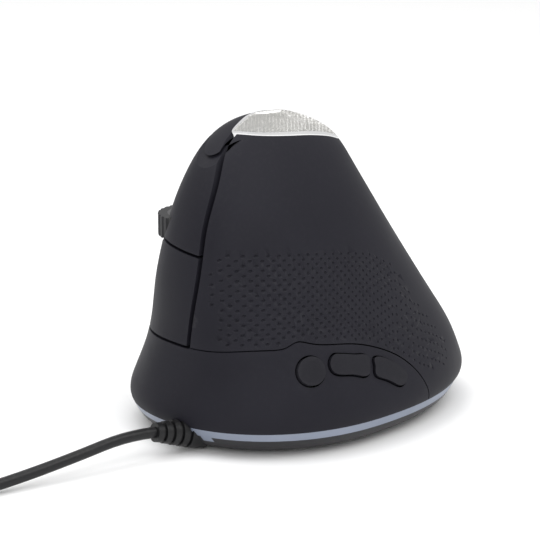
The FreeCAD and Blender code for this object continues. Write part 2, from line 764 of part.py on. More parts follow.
RELIEF_ROOT = Vector(sx(-8.2), sy(50.4), 5.25)
RELIEF_YAW = 8.0
RELIEF_TILT = 11.0
RELIEF_AXIS = Rotation(Vector(0, 0, 1), -RELIEF_YAW).multVec(
    Rotation(Vector(1, 0, 0), RELIEF_TILT).multVec(Vector(0, 1, 0))
)
RELIEF_TURN = Rotation(Vector(0, 0, 1), RELIEF_AXIS)
RELIEF_PLACE = Placement(RELIEF_ROOT, RELIEF_TURN)
NECK_RADIUS = 2.4
NECK_INSIDE = 6.0
neck = Part.makeCylinder(NECK_RADIUS, NECK_INSIDE + OVERCUT, Vector(0, 0, -NECK_INSIDE))
neck.Placement = RELIEF_PLACE

hull_hole = loft(
    [(FLOOR_TOP,) + hull_level(FLOOR_TOP)[1:], (STRIP_BOTTOM + OVERCUT,) + LOWER[-1][1:]], mm("wall"))
hull = HULL_SOLID.cut(hull_hole)
posts = [
    Part.makeCylinder(mm("post_diameter") / 2.0, mm("board_height") - FLOOR_TOP, Vector(x, y, FLOOR_TOP))
    for x, y in SCREW_SPOTS
]
hull = hull.multiFuse(posts)
SCREW_BOTTOM = mm("foot_height") + mm("foot_recess") / 2.0
hull_cuts = [neck]
for x, y in SCREW_SPOTS:
    hull_cuts.append(Part.makeCylinder(SCREW_RADIUS, mm("board_height"), Vector(x, y, 0)))
    head = mm("screw_head_height") + SCREW_BOTTOM
    hull_cuts.append(Part.makeCylinder(HEAD_RADIUS, head, Vector(x, y, 0)))
hull_cuts.append(box(
    (-mm("window_width") / 2.0, WINDOW_Y - mm("window_length") / 2.0, 0),
    (mm("window_width") / 2.0, WINDOW_Y + mm("window_length") / 2.0, FLOOR_TOP),
))

FOOT_RADIUS = mm("foot_width") / 2.0


def foot(label_x, label_y, turned):
    """One glide foot: a flat pad with round ends, standing on the desk."""
    half = mm("foot_length") / 2.0 - FOOT_RADIUS
    tall = mm("foot_height") + mm("foot_recess")
    ends = [Part.makeCylinder(FOOT_RADIUS, tall, Vector(x, 0, 0)) for x in (-half, half)]
    bar = box((-half, -FOOT_RADIUS, 0), (half, FOOT_RADIUS, tall))
    pad_shape = ends[0].multiFuse([ends[1], bar])
    pad_shape.Placement = at(label_x, label_y, 0, Rotation(Vector(0, 0, 1), turned))
    return pad_shape


FEET = {
    "front_foot": foot(0.0, sy(38.0), 0),
    "rear_foot": foot(0.0, sy(-37.0), 0),
    "thumb_side_foot": foot(sx(-28.0), 0.0, 90),
    "finger_side_foot": foot(sx(29.0), 0.0, 90),
}
for name, shape in FEET.items():
    feature(name, shape)
    hull_cuts.append(shape)

# The strip dips into the hull in two small tabs, one each side of the cord.
TAB_DEPTH = 1.6
TAB_SPANS = ((-8.4, -5.2), (4.8, 7.6))
tab_boxes = [
    box((RELIEF_ROOT.x + a, sy(40.0), STRIP_BOTTOM - TAB_DEPTH), (RELIEF_ROOT.x + b, FAR, STRIP_BOTTOM))
    for a, b in TAB_SPANS
]
hull = hull.cut(hull_cuts)
tabs = [hull.common(tab) for tab in tab_boxes]
feature("bottom_shell", hull.cut(tab_boxes))

feature("light_ring", STRIP_SOLID.cut([strip_hole, neck]).multiFuse(tabs))

# ---------------------------------------------------------------- main board and what is on it
board = new_body("main_board", at(0, 0, mm("board_height")))
plan = sketch_on(board, "main_board_plan")
draw_rectangle(plan, ref("main_board_width"), ref("main_board_length"))
for across in ("-1", "1"):
    for along in ("-1", "1"):
        draw_circle(
            plan,
            f"{across} * Sizes.screw_spacing_x / 2",
            f"{along} * Sizes.screw_spacing_y / 2",
            "Sizes.screw_diameter / 2",
        )
draw_circle(plan, "0 mm", f"{WINDOW_Y} mm", "Sizes.window_width / 2")
pad(board, plan, ref("board_thickness"))

LENS_PLATE = 0.8
LENS_RECESS = 0.2
LENS_RADIUS = 2.2
LENS_PLAY = 0.1
block("sensor_chip", ref("sensor_size"), ref("sensor_size"), ref("sensor_height"), at(0, WINDOW_Y, BOARD_TOP))
lens_plate = box(
    (-mm("lens_width") / 2.0, WINDOW_Y - mm("lens_length") / 2.0, FLOOR_TOP),
    (mm("lens_width") / 2.0, WINDOW_Y + mm("lens_length") / 2.0, FLOOR_TOP + LENS_PLATE),
)
pane_x = mm("window_width") / 2.0 - WINDOW_CLEARANCE
pane_y = mm("window_length") / 2.0 - WINDOW_CLEARANCE
lens_window = box(
    (-pane_x, WINDOW_Y - pane_y, mm("foot_height") + LENS_RECESS), (pane_x, WINDOW_Y + pane_y, FLOOR_TOP),
)
LENS_BARREL = BOARD_TOP - FLOOR_TOP - LENS_PLAY
lens_barrel = Part.makeCylinder(LENS_RADIUS, LENS_BARREL, Vector(0, WINDOW_Y, FLOOR_TOP))
feature("sensor_lens", lens_plate.multiFuse([lens_window, lens_barrel]))
block("controller_chip", ref("chip_size"), ref("chip_size"), ref("chip_height"), at(0, sy(-16.0), BOARD_TOP))
CONNECTOR_Y = sy(30.0)
CONNECTOR_X = sx(-6.0)
block("cable_connector", ref("connector_length"), ref("connector_width"), ref("connector_height"),
      at(CONNECTOR_X, CONNECTOR_Y, BOARD_TOP))
CAPACITOR_SPOTS = ((sx(8.0), sy(22.0)), (sx(8.0), sy(30.0)))
capacitors = [
    Part.makeCylinder(mm("capacitor_diameter") / 2.0, mm("capacitor_height"), Vector(x, y, BOARD_TOP))
    for x, y in CAPACITOR_SPOTS
]
feature("board_capacitors", Part.makeCompound(capacitors))
LED_X = mm("main_board_width") / 2.0 - 3.0
LED_SPOTS = [(side * LED_X, along) for side in (-1, 1) for along in (sy(-12.0), sy(12.0))]
leds = [
    box((x - mm("led_size") / 2.0, y - mm("led_size") / 2.0, BOARD_TOP),
        (x + mm("led_size") / 2.0, y + mm("led_size") / 2.0, BOARD_TOP + mm("led_height")))
    for x, y in LED_SPOTS
]
feature("strip_leds", Part.makeCompound(leds))

# ---------------------------------------------------------------- inner frame
DECK_LOW = mm("frame_deck_height")
DECK_TOP = DECK_LOW + mm("frame_plate")
LEG_HALF = mm("frame_leg") / 2.0
PLATE = mm("frame_plate")
SCREW_TOP = DECK_LOW - 1.0
WALL_CLEARANCE = 1.2


def plate_solid(points, place, thickness):
    """A flat plate of a polygon outline."""
    wire = Part.makePolygon([Vector(a, b, 0) for a, b in points] + [Vector(*points[0], 0)])
    plate = Part.Face(wire).extrude(Vector(0, 0, thickness))
    plate.Placement = place
    return plate


web_outline = [
    (BULKHEAD_BACK, DECK_LOW), (sy(30.0), DECK_LOW), (sy(33.0), sz(38.0)), (sy(30.0), sz(56.0)),
    (sy(21.0), sz(67.0)), (sy(-6.0), sz(69.0)), (BULKHEAD_BACK, sz(62.0)),
]
frame_parts = [plate_solid(web_outline, Placement(Vector(WEB_BACK, 0, 0), ALONG_Y), PLATE)]
finger_limit = mm("wall") * SLOPE_ALLOWANCE + WALL_CLEARANCE
bulkhead_heights = (DECK_LOW, sz(26.0), sz(38.0), sz(50.0), sz(62.0), FRAME_TOP)
bulkhead_outline = [(finger_x(BULKHEAD_BACK, z) - finger_limit, z) for z in bulkhead_heights]
bulkhead_outline[0] = (sx(20.0), DECK_LOW)
bulkhead_outline[1] = (sx(22.0), bulkhead_heights[1])
bulkhead_outline += [(sx(-2.0), FRAME_TOP), (WEB_BACK, sz(62.0)), (WEB_BACK, DECK_LOW)]
frame_parts.append(plate_solid(bulkhead_outline, Placement(Vector(0, BULKHEAD_FRONT, 0), ACROSS_X), PLATE))
deck_x = mm("screw_spacing_x") / 2.0 + LEG_HALF
deck_y = mm("screw_spacing_y") / 2.0 + LEG_HALF
deck = box((-deck_x, -deck_y, DECK_LOW), (deck_x, deck_y, DECK_TOP))
DECK_OPENING = box((-1.5, sy(-8.0), 0), (sx(15.0), sy(18.0), DECK_TOP + OVERCUT))
frame_parts.append(deck.cut(DECK_OPENING))
for x, y in SCREW_SPOTS:
    frame_parts.append(box((x - LEG_HALF, y - LEG_HALF, BOARD_TOP), (x + LEG_HALF, y + LEG_HALF, DECK_LOW)))
frame_parts += [LEFT_HINGE.ears(), RIGHT_HINGE.ears()]
SHELF_FRONT_X = sx(6.0)
SHELF_CLEARANCE = 0.3
SHELF = 1.8
SHELF_HALF = 8.0
SHELF_SETBACK = 5.0
JOIN = 0.1
shelf_y = (WHEEL_Y - SHELF_HALF, WHEEL_Y + SHELF_HALF)
ENCODER_TALL = 6.0
ENCODER_HALF = 4.6
YOKE_ROOM = 2.4
yoke_back_x = WHEEL_X - WHEEL_RADIUS - YOKE_ROOM - mm("yoke_thickness")
frame_parts.append(box((WEB_FACE - JOIN, shelf_y[0], YOKE_HIGH + SHELF_CLEARANCE),
                       (SHELF_FRONT_X, shelf_y[1] - SHELF_SETBACK, YOKE_HIGH + SHELF_CLEARANCE + SHELF)))
frame_parts.append(box((WEB_FACE - JOIN, shelf_y[0], YOKE_LOW - SHELF_CLEARANCE - SHELF),
                       (SHELF_FRONT_X, shelf_y[1], YOKE_LOW - SHELF_CLEARANCE)))
STANDOFF_SPOTS = [(sy(-4.0), sz(25.0)), (sy(8.0), sz(25.0)), (sy(-4.0), sz(58.0)), (sy(8.0), sz(56.0))]
STANDOFF_RADIUS = 2.0
SMALL_SCREW_RADIUS = 0.9
for y, z in STANDOFF_SPOTS:
    frame_parts.append(rod((WEB_FACE - JOIN, y, z), (UPPER_BOARD_BACK, y, z), STANDOFF_RADIUS))
CROWN_PAD_HALF = 2.4
frame_parts.append(box(
    (CROWN_POST_X - CROWN_PAD_HALF, BULKHEAD_BACK, FRAME_TOP - PLATE),
    (CROWN_POST_X, POST_ALONG[0] + CROWN_PAD_HALF, FRAME_TOP),
))
frame = frame_parts[0].multiFuse(frame_parts[1:])
frame_cuts = [
    Part.makeCylinder(SCREW_RADIUS, SCREW_TOP - BOARD_TOP, Vector(x, y, BOARD_TOP)) for x, y in SCREW_SPOTS
]
for y, z in STANDOFF_SPOTS:
    frame_cuts.append(rod((WEB_FACE, y, z), (UPPER_BOARD_BACK, y, z), SMALL_SCREW_RADIUS))
TACT_HALF = mm("tact_size") / 2.0
TACT_Y = WHEEL_Y - 1.0
frame_cuts.append(box((WEB_BACK - OVERCUT, TACT_Y - TACT_HALF, WHEEL_Z - TACT_HALF),
                      (WEB_FACE + OVERCUT, TACT_Y + TACT_HALF, WHEEL_Z + TACT_HALF)))
frame = frame.cut(frame_cuts)
feature("inner_frame", frame)

case_screws = []
for x, y in SCREW_SPOTS:
    head = Part.makeCylinder(HEAD_RADIUS, mm("screw_head_height"), Vector(x, y, SCREW_BOTTOM))
    shank = Part.makeCylinder(SCREW_RADIUS, SCREW_TOP - SCREW_BOTTOM, Vector(x, y, SCREW_BOTTOM))
    case_screws.append(head.fuse(shank))
feature("case_screws", Part.makeCompound(case_screws))

# ---------------------------------------------------------------- upper board
UPPER_BOARD_Y = sy(3.0)
UPPER_BOARD_LOW = sz(20.0)
upper_board = new_body("upper_board", Placement(
    Vector(UPPER_BOARD_BACK, UPPER_BOARD_Y, UPPER_BOARD_LOW + mm("upper_board_height") / 2.0), ALONG_Y))
upper_plan = sketch_on(upper_board, "upper_board_plan")
draw_rectangle(upper_plan, ref("upper_board_width"), ref("upper_board_height"))
for y, z in STANDOFF_SPOTS:
    middle = UPPER_BOARD_LOW + mm("upper_board_height") / 2.0
    draw_circle(upper_plan, f"{y - UPPER_BOARD_Y} mm", f"{z - middle} mm", f"{SMALL_SCREW_RADIUS} mm")
pad(upper_board, upper_plan, ref("board_thickness"))

SMALL_HEAD_RADIUS = 1.8
SMALL_HEAD_HEIGHT = 1.0
SCREW_TIP_GAP = 0.5
board_screws = []
for y, z in STANDOFF_SPOTS:
    shank = rod((WEB_FACE + SCREW_TIP_GAP, y, z), (UPPER_BOARD_FACE, y, z), SMALL_SCREW_RADIUS)
    head = rod((UPPER_BOARD_FACE, y, z), (UPPER_BOARD_FACE + SMALL_HEAD_HEIGHT, y, z), SMALL_HEAD_RADIUS)
    board_screws.append(shank.fuse(head))
feature("board_screws", Part.makeCompound(board_screws))


def click_switch(label, height):
    """A lever-free snap switch on the upper board, its plunger towards the finger side."""
    half_y, half_z = mm("switch_length") / 2.0, mm("switch_width") / 2.0
    low = (UPPER_BOARD_FACE, SWITCH_Y - half_y, height - half_z)
    body = box(low, (SWITCH_TOP, SWITCH_Y + half_y, height + half_z))
    plunger_root = (SWITCH_TOP - OVERCUT, SWITCH_Y, height)
    plunger = rod(plunger_root, (SWITCH_TOP + PLUNGER_LENGTH, SWITCH_Y, height), PLUNGER_RADIUS)
    feature(label, body.fuse(plunger))


click_switch("left_switch", LEFT_SWITCH_Z)
click_switch("right_switch", RIGHT_SWITCH_Z)
LINK_HALF = 3.5
LINK_Y = sy(-3.4)
LINK_THICKNESS = 0.5
LINK_LAP = 2.0
feature("board_link", box(
    (UPPER_BOARD_FACE, LINK_Y - LINK_HALF, BOARD_TOP),
    (UPPER_BOARD_FACE + LINK_THICKNESS, LINK_Y + LINK_HALF, UPPER_BOARD_LOW + LINK_LAP),
))

# ---------------------------------------------------------------- scroll wheel
tyre = new_body("wheel_tyre", at(WHEEL_X, WHEEL_Y, WHEEL_Z - WHEEL_HALF))
tyre_plan = sketch_on(tyre, "wheel_tyre_plan")
draw_circle(tyre_plan, "0 mm", "0 mm", ref("wheel_radius"))
draw_circle(tyre_plan, "0 mm", "0 mm", "Sizes.wheel_radius - Sizes.tyre_depth")
pad(tyre, tyre_plan, ref("wheel_width"))
TREADS = 32
groove_plan = sketch_on(tyre, "wheel_tread_plan")
draw_circle(groove_plan, "Sizes.wheel_radius + Sizes.tread_shift", "0 mm", "Sizes.tread_radius")
groove = tyre.newObject("PartDesign::Pocket", "wheel_tread")
groove.Profile = groove_plan
groove.Type = "ThroughAll"
groove.Reversed = True
treads = tyre.newObject("PartDesign::PolarPattern", "wheel_treads")
treads.Originals = [groove]
treads.Axis = (groove_plan, ["N_Axis"])
treads.Occurrences = TREADS
tyre.Tip = treads

hub = new_body("wheel_hub", at(WHEEL_X, WHEEL_Y, WHEEL_Z - WHEEL_HALF))
hub_plan = sketch_on(hub, "wheel_hub_plan")
draw_circle(hub_plan, "0 mm", "0 mm", "Sizes.wheel_radius - Sizes.tyre_depth")
draw_circle(hub_plan, "0 mm", "0 mm", "Sizes.axle_diameter / 2")
pad(hub, hub_plan, ref("wheel_width"))
AXLE_INSET = 1.0
AXLE_LOW = YOKE_LOW - ENCODER_TALL + AXLE_INSET
disc("wheel_axle", "Sizes.axle_diameter / 2", f"{YOKE_HIGH - AXLE_LOW} mm", at(WHEEL_X, WHEEL_Y, AXLE_LOW))

ARM_END = 3.0
ARM_HALF = 5.0
ARM_FRONT = 3.0
yoke_parts = []
for base in (YOKE_LOW, YOKE_HIGH - mm("yoke_thickness")):
    top = base + mm("yoke_thickness")
    yoke_parts.append(box((yoke_back_x, WHEEL_Y - ARM_HALF, base), (WHEEL_X, WHEEL_Y + ARM_FRONT, top)))
    yoke_parts.append(Part.makeCylinder(ARM_END, top - base, Vector(WHEEL_X, WHEEL_Y, base)))
yoke_parts.append(box((yoke_back_x, WHEEL_Y - ARM_HALF, YOKE_LOW),
                      (yoke_back_x + mm("yoke_thickness"), WHEEL_Y + ARM_HALF, YOKE_HIGH)))
bearing_bore = Part.makeCylinder(AXLE_RADIUS + RUNNING, YOKE_HIGH, Vector(WHEEL_X, WHEEL_Y, 0))
yoke = yoke_parts[0].multiFuse(yoke_parts[1:]).cut(bearing_bore)
feature("wheel_yoke", yoke)
encoder = box((WHEEL_X - ENCODER_HALF, WHEEL_Y - ENCODER_HALF, YOKE_LOW - ENCODER_TALL),
              (WHEEL_X + ARM_END, WHEEL_Y + ARM_END, YOKE_LOW))
feature("wheel_encoder", encoder.cut(bearing_bore))
TACT_PLAY = 0.15
TACT_FACE = yoke_back_x - mm("wheel_travel") - TACT_PLAY
feature("wheel_switch", box(
    (TACT_FACE - mm("tact_height"), TACT_Y - TACT_HALF, WHEEL_Z - TACT_HALF),
    (TACT_FACE, TACT_Y + TACT_HALF, WHEEL_Z + TACT_HALF),
))

# ---------------------------------------------------------------- side board
SIDE_BOARD_SPOT = at(-1.5, -2.0, -SIDE_BOARD_DEPTH - mm("board_thickness"))
block("side_board", ref("side_board_length"), ref("side_board_width"), ref("board_thickness"),
      SIDE_PLACE.multiply(SIDE_BOARD_SPOT))
side_switches = []
for name, (across, up) in STEM_SPOTS.items():
    tact = box((across - TACT_HALF, up - TACT_HALF, -SIDE_BOARD_DEPTH),
               (across + TACT_HALF, up + TACT_HALF, -SIDE_BOARD_DEPTH + mm("tact_height")))
    tact.Placement = SIDE_PLACE
    side_switches.append(tact)
feature("side_switches", Part.makeCompound(side_switches))

# ---------------------------------------------------------------- strain relief and cord
RIDGES = 5
RIDGE_GAP = 0.8
GROOVE_DEPTH = 1.0
RIDGE_TAPER = 0.15
RELIEF_START = -4.0
relief_profile = [(0.0, RELIEF_START)]
root_radius, tip_radius = mm("relief_root_diameter") / 2.0, mm("relief_tip_diameter") / 2.0
step_length = mm("relief_length") / RIDGES
for ridge in range(RIDGES):
    radius = root_radius + (tip_radius - root_radius) * ridge / (RIDGES - 1)
    low = ridge * step_length if ridge else RELIEF_START
    high = (ridge + 1) * step_length - RIDGE_GAP
    relief_profile += [(radius, low), (radius - RIDGE_TAPER, high)]
    if ridge < RIDGES - 1:
        relief_profile += [(radius - GROOVE_DEPTH, high), (radius - GROOVE_DEPTH, high + RIDGE_GAP)]
relief_profile.append((0.0, mm("relief_length") - RIDGE_GAP))
relief_wire = Part.makePolygon([Vector(r, 0, z) for r, z in relief_profile] + [Vector(0, 0, RELIEF_START)])
relief = Part.Face(relief_wire).revolve(Vector(0, 0, 0), Vector(0, 0, 1), 360)
relief.Placement = RELIEF_PLACE
relief = relief.cut([HULL_SOLID, STRIP_SOLID, OUTER_SKIN]).fuse(neck)
feature("strain_relief", relief)
RELIEF_TIP = RELIEF_PLACE.multVec(Vector(0, 0, mm("relief_length") - RIDGE_GAP))
NECK_END = RELIEF_PLACE.multVec(Vector(0, 0, -NECK_INSIDE))
CORD_RADIUS = mm("cord_diameter") / 2.0
INNER_LEAD_RADIUS = 1.0
MOUTH_SHIFT = -1.0
connector_mouth = (CONNECTOR_X + MOUTH_SHIFT, CONNECTOR_Y + mm("connector_width") / 2.0,
                   BOARD_TOP + mm("connector_height") - 2.0 * INNER_LEAD_RADIUS)
feature("inner_lead", rod(tuple(NECK_END), connector_mouth, INNER_LEAD_RADIUS))

# The cord's free route, from the relief's tip to where it joins the coil.
COIL_CENTRE = Vector(23.0, 135.0, 0.0)
COIL_COLUMNS = int(mm("coil_columns"))
COIL_LAYERS = int(mm("coil_layers"))
COIL_HALF_WIDTH = COIL_COLUMNS * CORD_RADIUS
COIL_OUTER_TURN = mm("coil_middle_radius") + COIL_HALF_WIDTH - CORD_RADIUS
COIL_TOP_LAYER = mm("cord_diameter") * COIL_LAYERS - CORD_RADIUS
LEAD_ROUTE = [
    tuple(RELIEF_TIP), (-5.2, 71.0, 8.3), (-3.4, 87.0, 5.6), (-1.2, 104.0, 3.2), (1.4, 119.0, CORD_RADIUS),
    (COIL_CENTRE.x - COIL_OUTER_TURN, COIL_CENTRE.y, CORD_RADIUS),
]
PLUG_END = Vector(52.5, 131.0, 4.0)
PLUG_AXIS = Vector(0.22, -0.975, 0).normalize()
TAIL_ROUTE = [
    (COIL_CENTRE.x, COIL_CENTRE.y + COIL_OUTER_TURN, COIL_TOP_LAYER),
    (34.0, 155.6, 9.0), (44.5, 151.0, 5.6), (50.6, 141.5, 4.0), tuple(PLUG_END),
]
RUN_SHARE = 0.45


def cord_path(route):
    """Straight runs joined by tangent arcs through a list of points, and the arcs' radii."""
    spots = [Vector(*spot) for spot in route]
    edges, radii, start = [], [], spots[0]
    for before, corner, after in zip(spots, spots[1:], spots[2:]):
        run_in, run_out = corner - before, after - corner
        turn = run_in.getAngle(run_out)
        shorter = min(run_in.Length, run_out.Length)
        radius = RUN_SHARE * shorter / math.tan(turn / 2.0)
        back = RUN_SHARE * shorter
        enter = corner - run_in.normalize() * back
        leave = corner + run_out.normalize() * back
        bisector = (enter - corner + leave - corner).normalize()
        centre = corner + bisector * math.hypot(radius, back)
        middle = centre - bisector * radius
        edges.append(Part.LineSegment(start, enter).toShape())
        edges.append(Part.Arc(enter, middle, leave).toShape())
        radii.append(radius)
        start = leave
    edges.append(Part.LineSegment(start, spots[-1]).toShape())
    return Part.Wire(edges), radii


def cord_tube(label, route):
    """A round tube along a route."""
    path, radii = cord_path(route)
    first = Vector(*route[1]) - Vector(*route[0])
    section = Part.Wire([Part.Circle(Vector(*route[0]), first, CORD_RADIUS).toShape()])
    tube = path.makePipeShell([section], True, False)
    expected = math.pi * CORD_RADIUS ** 2 * path.Length
    print(label, "length", round(path.Length, 1), "radii", [round(r, 1) for r in radii],
          "volume over section times length", round(tube.Volume / expected, 4))
    feature(label, tube)
    return path.Length


lead_length = cord_tube("cable_lead", LEAD_ROUTE)
tail_length = cord_tube("cable_tail", TAIL_ROUTE)

coil = new_body("cable_coil", at(*COIL_CENTRE))
coil_plan = sketch_on(coil, "cable_coil_plan")
COIL_HALF_WIDTH = "Sizes.coil_columns * Sizes.cord_diameter / 2"
draw_circle(coil_plan, "0 mm", "0 mm", f"Sizes.coil_middle_radius + {COIL_HALF_WIDTH}")
draw_circle(coil_plan, "0 mm", "0 mm", f"Sizes.coil_middle_radius - {COIL_HALF_WIDTH}")
pad(coil, coil_plan, "Sizes.coil_layers * Sizes.cord_diameter")
turns_length = 2.0 * math.pi * mm("coil_middle_radius") * COIL_COLUMNS * COIL_LAYERS
print("cord length", round(lead_length + tail_length + turns_length, 1))

# ---------------------------------------------------------------- plug
PLUG_TURN = Rotation(Vector(0, 0, 1).cross(PLUG_AXIS), Vector(0, 0, 1), PLUG_AXIS, "XYZ")
PLUG_PLACE = Placement(PLUG_END, PLUG_TURN)
TAIL = mm("plug_tail")
GRIP_END = TAIL + mm("plug_grip_length")
SLEEVE_NARROW = 0.4
SLEEVE_WIDE = 1.3

grip = block("plug_grip", ref("plug_grip_width"), ref("plug_grip_height"), ref("plug_grip_length"),
             PLUG_PLACE.multiply(at(0, 0, TAIL)))
DOC.recompute()
GRIP_ROUNDING = 1.2
long_edges = [
    f"Edge{number}" for number, edge in enumerate(grip.Shape.Edges, start=1)
    if math.isclose(edge.Length, mm("plug_grip_length"), rel_tol=1e-6)
]
grip_pad = grip.Tip
rounding = grip.newObject("PartDesign::Fillet", "plug_grip_rounding")
rounding.Base = (grip_pad, long_edges)
rounding.Radius = GRIP_ROUNDING
sleeve = Part.makeCone(CORD_RADIUS + SLEEVE_NARROW, CORD_RADIUS + SLEEVE_WIDE, TAIL)
feature("plug_sleeve", sleeve, PLUG_PLACE)

shell = new_body("plug_shell", PLUG_PLACE.multiply(at(0, 0, GRIP_END)))
shell_plan = sketch_on(shell, "plug_shell_plan")
draw_rectangle(shell_plan, ref("plug_shell_width"), ref("plug_shell_height"))
draw_rectangle(
    shell_plan,
    "Sizes.plug_shell_width - 2 * Sizes.plug_shell_wall",
    "Sizes.plug_shell_height - 2 * Sizes.plug_shell_wall",
)
pad(shell, shell_plan, ref("plug_shell_length"))
TONGUE_HEIGHT = 1.8
TONGUE_SHORT = 0.5
TONGUE_DROP = -(mm("plug_shell_height") / 2.0 - mm("plug_shell_wall")) + TONGUE_HEIGHT / 2.0
tongue = new_body("plug_tongue", PLUG_PLACE.multiply(at(0, TONGUE_DROP, GRIP_END)))
tongue_plan = sketch_on(tongue, "plug_tongue_plan")
draw_rectangle(tongue_plan, "Sizes.plug_shell_width - 2 * Sizes.plug_shell_wall", f"{TONGUE_HEIGHT} mm")
pad(tongue, tongue_plan, f"Sizes.plug_shell_length - {TONGUE_SHORT}")
CONTACT_SPOTS = (-3.5, -1.0, 1.0, 3.5)
CONTACT_WIDTH = 1.0
CONTACT_RISE = 0.15
CONTACT_SPAN = (8.0, 17.0)
contacts = []
for across in CONTACT_SPOTS:
    base = TONGUE_DROP + TONGUE_HEIGHT / 2.0
    contacts.append(box((across - CONTACT_WIDTH / 2.0, base, GRIP_END + CONTACT_SPAN[0]),
                        (across + CONTACT_WIDTH / 2.0, base + CONTACT_RISE, GRIP_END + CONTACT_SPAN[1])))
feature("plug_contacts", Part.makeCompound(contacts), PLUG_PLACE)

# ---------------------------------------------------------------- checks and export
DOC.recompute()
for thing in DOC.Objects:
    if "Invalid" in thing.State or "Error" in thing.State:
        raise RuntimeError(f"{thing.Label} did not recompute: {thing.State}")
for piece in KEPT:
    if piece.Shape.isNull() or not piece.Shape.isValid() or piece.Shape.Volume <= 0:
        raise RuntimeError(f"{piece.Label} has no valid shape")

os.makedirs("parts", exist_ok=True)
for piece in KEPT:
    print(piece.Label, len(piece.Shape.Solids), "solids", round(piece.Shape.Volume, 1), "mm3")
    piece.Shape.exportStep(f"parts/{piece.Label}.step")
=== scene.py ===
"""Looks of an upright computer mouse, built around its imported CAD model.

Lengths are in metres and every piece lies in the CAD frame: +Z up, +Y to the front, -X the thumb side.
"""
import json
import logging
import math
from collections.abc import Iterable
from dataclasses import dataclass, field
from enum import Enum

import bmesh
import bpy
from mathutils import Matrix, Vector
from mathutils.bvhtree import BVHTree


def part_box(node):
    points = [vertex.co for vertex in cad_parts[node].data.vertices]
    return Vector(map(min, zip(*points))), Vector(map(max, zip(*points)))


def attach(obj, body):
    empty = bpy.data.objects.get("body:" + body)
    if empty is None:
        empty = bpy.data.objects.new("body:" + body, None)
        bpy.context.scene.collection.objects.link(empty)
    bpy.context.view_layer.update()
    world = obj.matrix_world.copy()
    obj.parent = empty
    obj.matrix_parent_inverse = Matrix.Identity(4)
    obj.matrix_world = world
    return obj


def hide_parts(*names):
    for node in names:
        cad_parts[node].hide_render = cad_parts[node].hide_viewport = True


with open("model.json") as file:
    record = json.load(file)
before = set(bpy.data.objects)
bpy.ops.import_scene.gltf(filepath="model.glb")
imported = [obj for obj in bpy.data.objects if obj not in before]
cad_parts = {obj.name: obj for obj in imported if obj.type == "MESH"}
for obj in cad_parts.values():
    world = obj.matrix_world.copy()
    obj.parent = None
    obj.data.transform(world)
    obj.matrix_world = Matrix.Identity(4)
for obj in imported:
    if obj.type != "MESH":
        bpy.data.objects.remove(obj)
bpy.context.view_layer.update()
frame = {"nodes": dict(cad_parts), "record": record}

MM = 0.001
# Points of a copied mesh that lie nearer than this are one point.
MERGE_DISTANCE = 1e-6
# Points that lie nearer than this to a cutting plane are on it.
CUT_TOLERANCE = MERGE_DISTANCE / 10.0
# An edge that turns by more than this is shaded sharp.
SHARP_ANGLE = math.radians(32.0)
LOG = logging.getLogger("mouse")
Colour = tuple[float, float, float]


class Body(Enum):
    """The rigid bodies that the made pieces ride on."""

    CASE = "case"


class Slot(Enum):
    """The record's material slots."""

    SHELL = "soft_touch_shell"
    KEY = "side_key"
    HULL = "hull_plastic"
    STRIP = "light_strip"
    CHROME = "cap_chrome"
    WEAVE = "cap_weave"
    FOOT = "glide_foot"
    BOARD = "circuit_board"
    CHIP = "chip_black"
    SWITCH = "switch_body"
    LENS = "lens_clear"
    CONNECTOR = "connector_white"
    CAN = "capacitor_can"
    INNER = "inner_plastic"
    STEEL = "steel_small"
    TYRE = "tyre_rubber"
    JACKET = "cord_jacket"
    PLUG_STEEL = "plug_steel"
    GOLD = "contact_gold"


# ---------------------------------------------------------------- shared shader effects


@dataclass
class Tree:
    """A node tree with short calls for adding and joining nodes.

    Attributes:
        tree: the node tree that the nodes go in.
    """

    tree: bpy.types.NodeTree

    def add(self, kind: str, **settings: object) -> bpy.types.Node:
        """Adds a node.

        Args:
            kind: the node type's name without its ShaderNode prefix.
            **settings: properties to set on the node.

        Returns:
            The new node.
        """
        prefix = "" if kind.startswith("Node") else "ShaderNode"
        node = self.tree.nodes.new(prefix + kind)
        for name, value in settings.items():
            setattr(node, name, value)
        return node

    def join(self, start: bpy.types.NodeSocket, end: bpy.types.NodeSocket) -> None:
        """Links an output to an input."""
        self.tree.links.new(start, end)

    def math(
        self, operation: str, first: object, second: object, clamp: bool = False,
    ) -> bpy.types.NodeSocket:
        """Adds a Math node.

        Args:
            operation: the Math node's operation.
            first: a socket or a number.
            second: a socket or a number.
            clamp: whether the result is kept between 0 and 1.

        Returns:
            The result's socket.
        """
        node = self.add("Math", operation=operation, use_clamp=clamp)
        for socket, value in zip(node.inputs, (first, second)):
            if isinstance(value, bpy.types.NodeSocket):
                self.join(value, socket)
            else:
                socket.default_value = value
        return node.outputs[0]

    def mix(self, share: object, low: object, high: object) -> bpy.types.NodeSocket:
        """Adds a colour Mix node.

        Args:
            share: a socket or a number, 0 for low and 1 for high.
            low: a socket or a colour.
            high: a socket or a colour.

        Returns:
            The mixed colour's socket.
        """
        node = self.add("Mix", data_type="RGBA")
        colours = [socket for socket in node.inputs if socket.type == "RGBA"]
        for socket, value in zip([node.inputs[0], *colours], (share, low, high)):
            if isinstance(value, bpy.types.NodeSocket):
                self.join(value, socket)
            elif isinstance(value, tuple):
                socket.default_value = (*value, 1.0)
            else:
                socket.default_value = value
        return node.outputs[2]


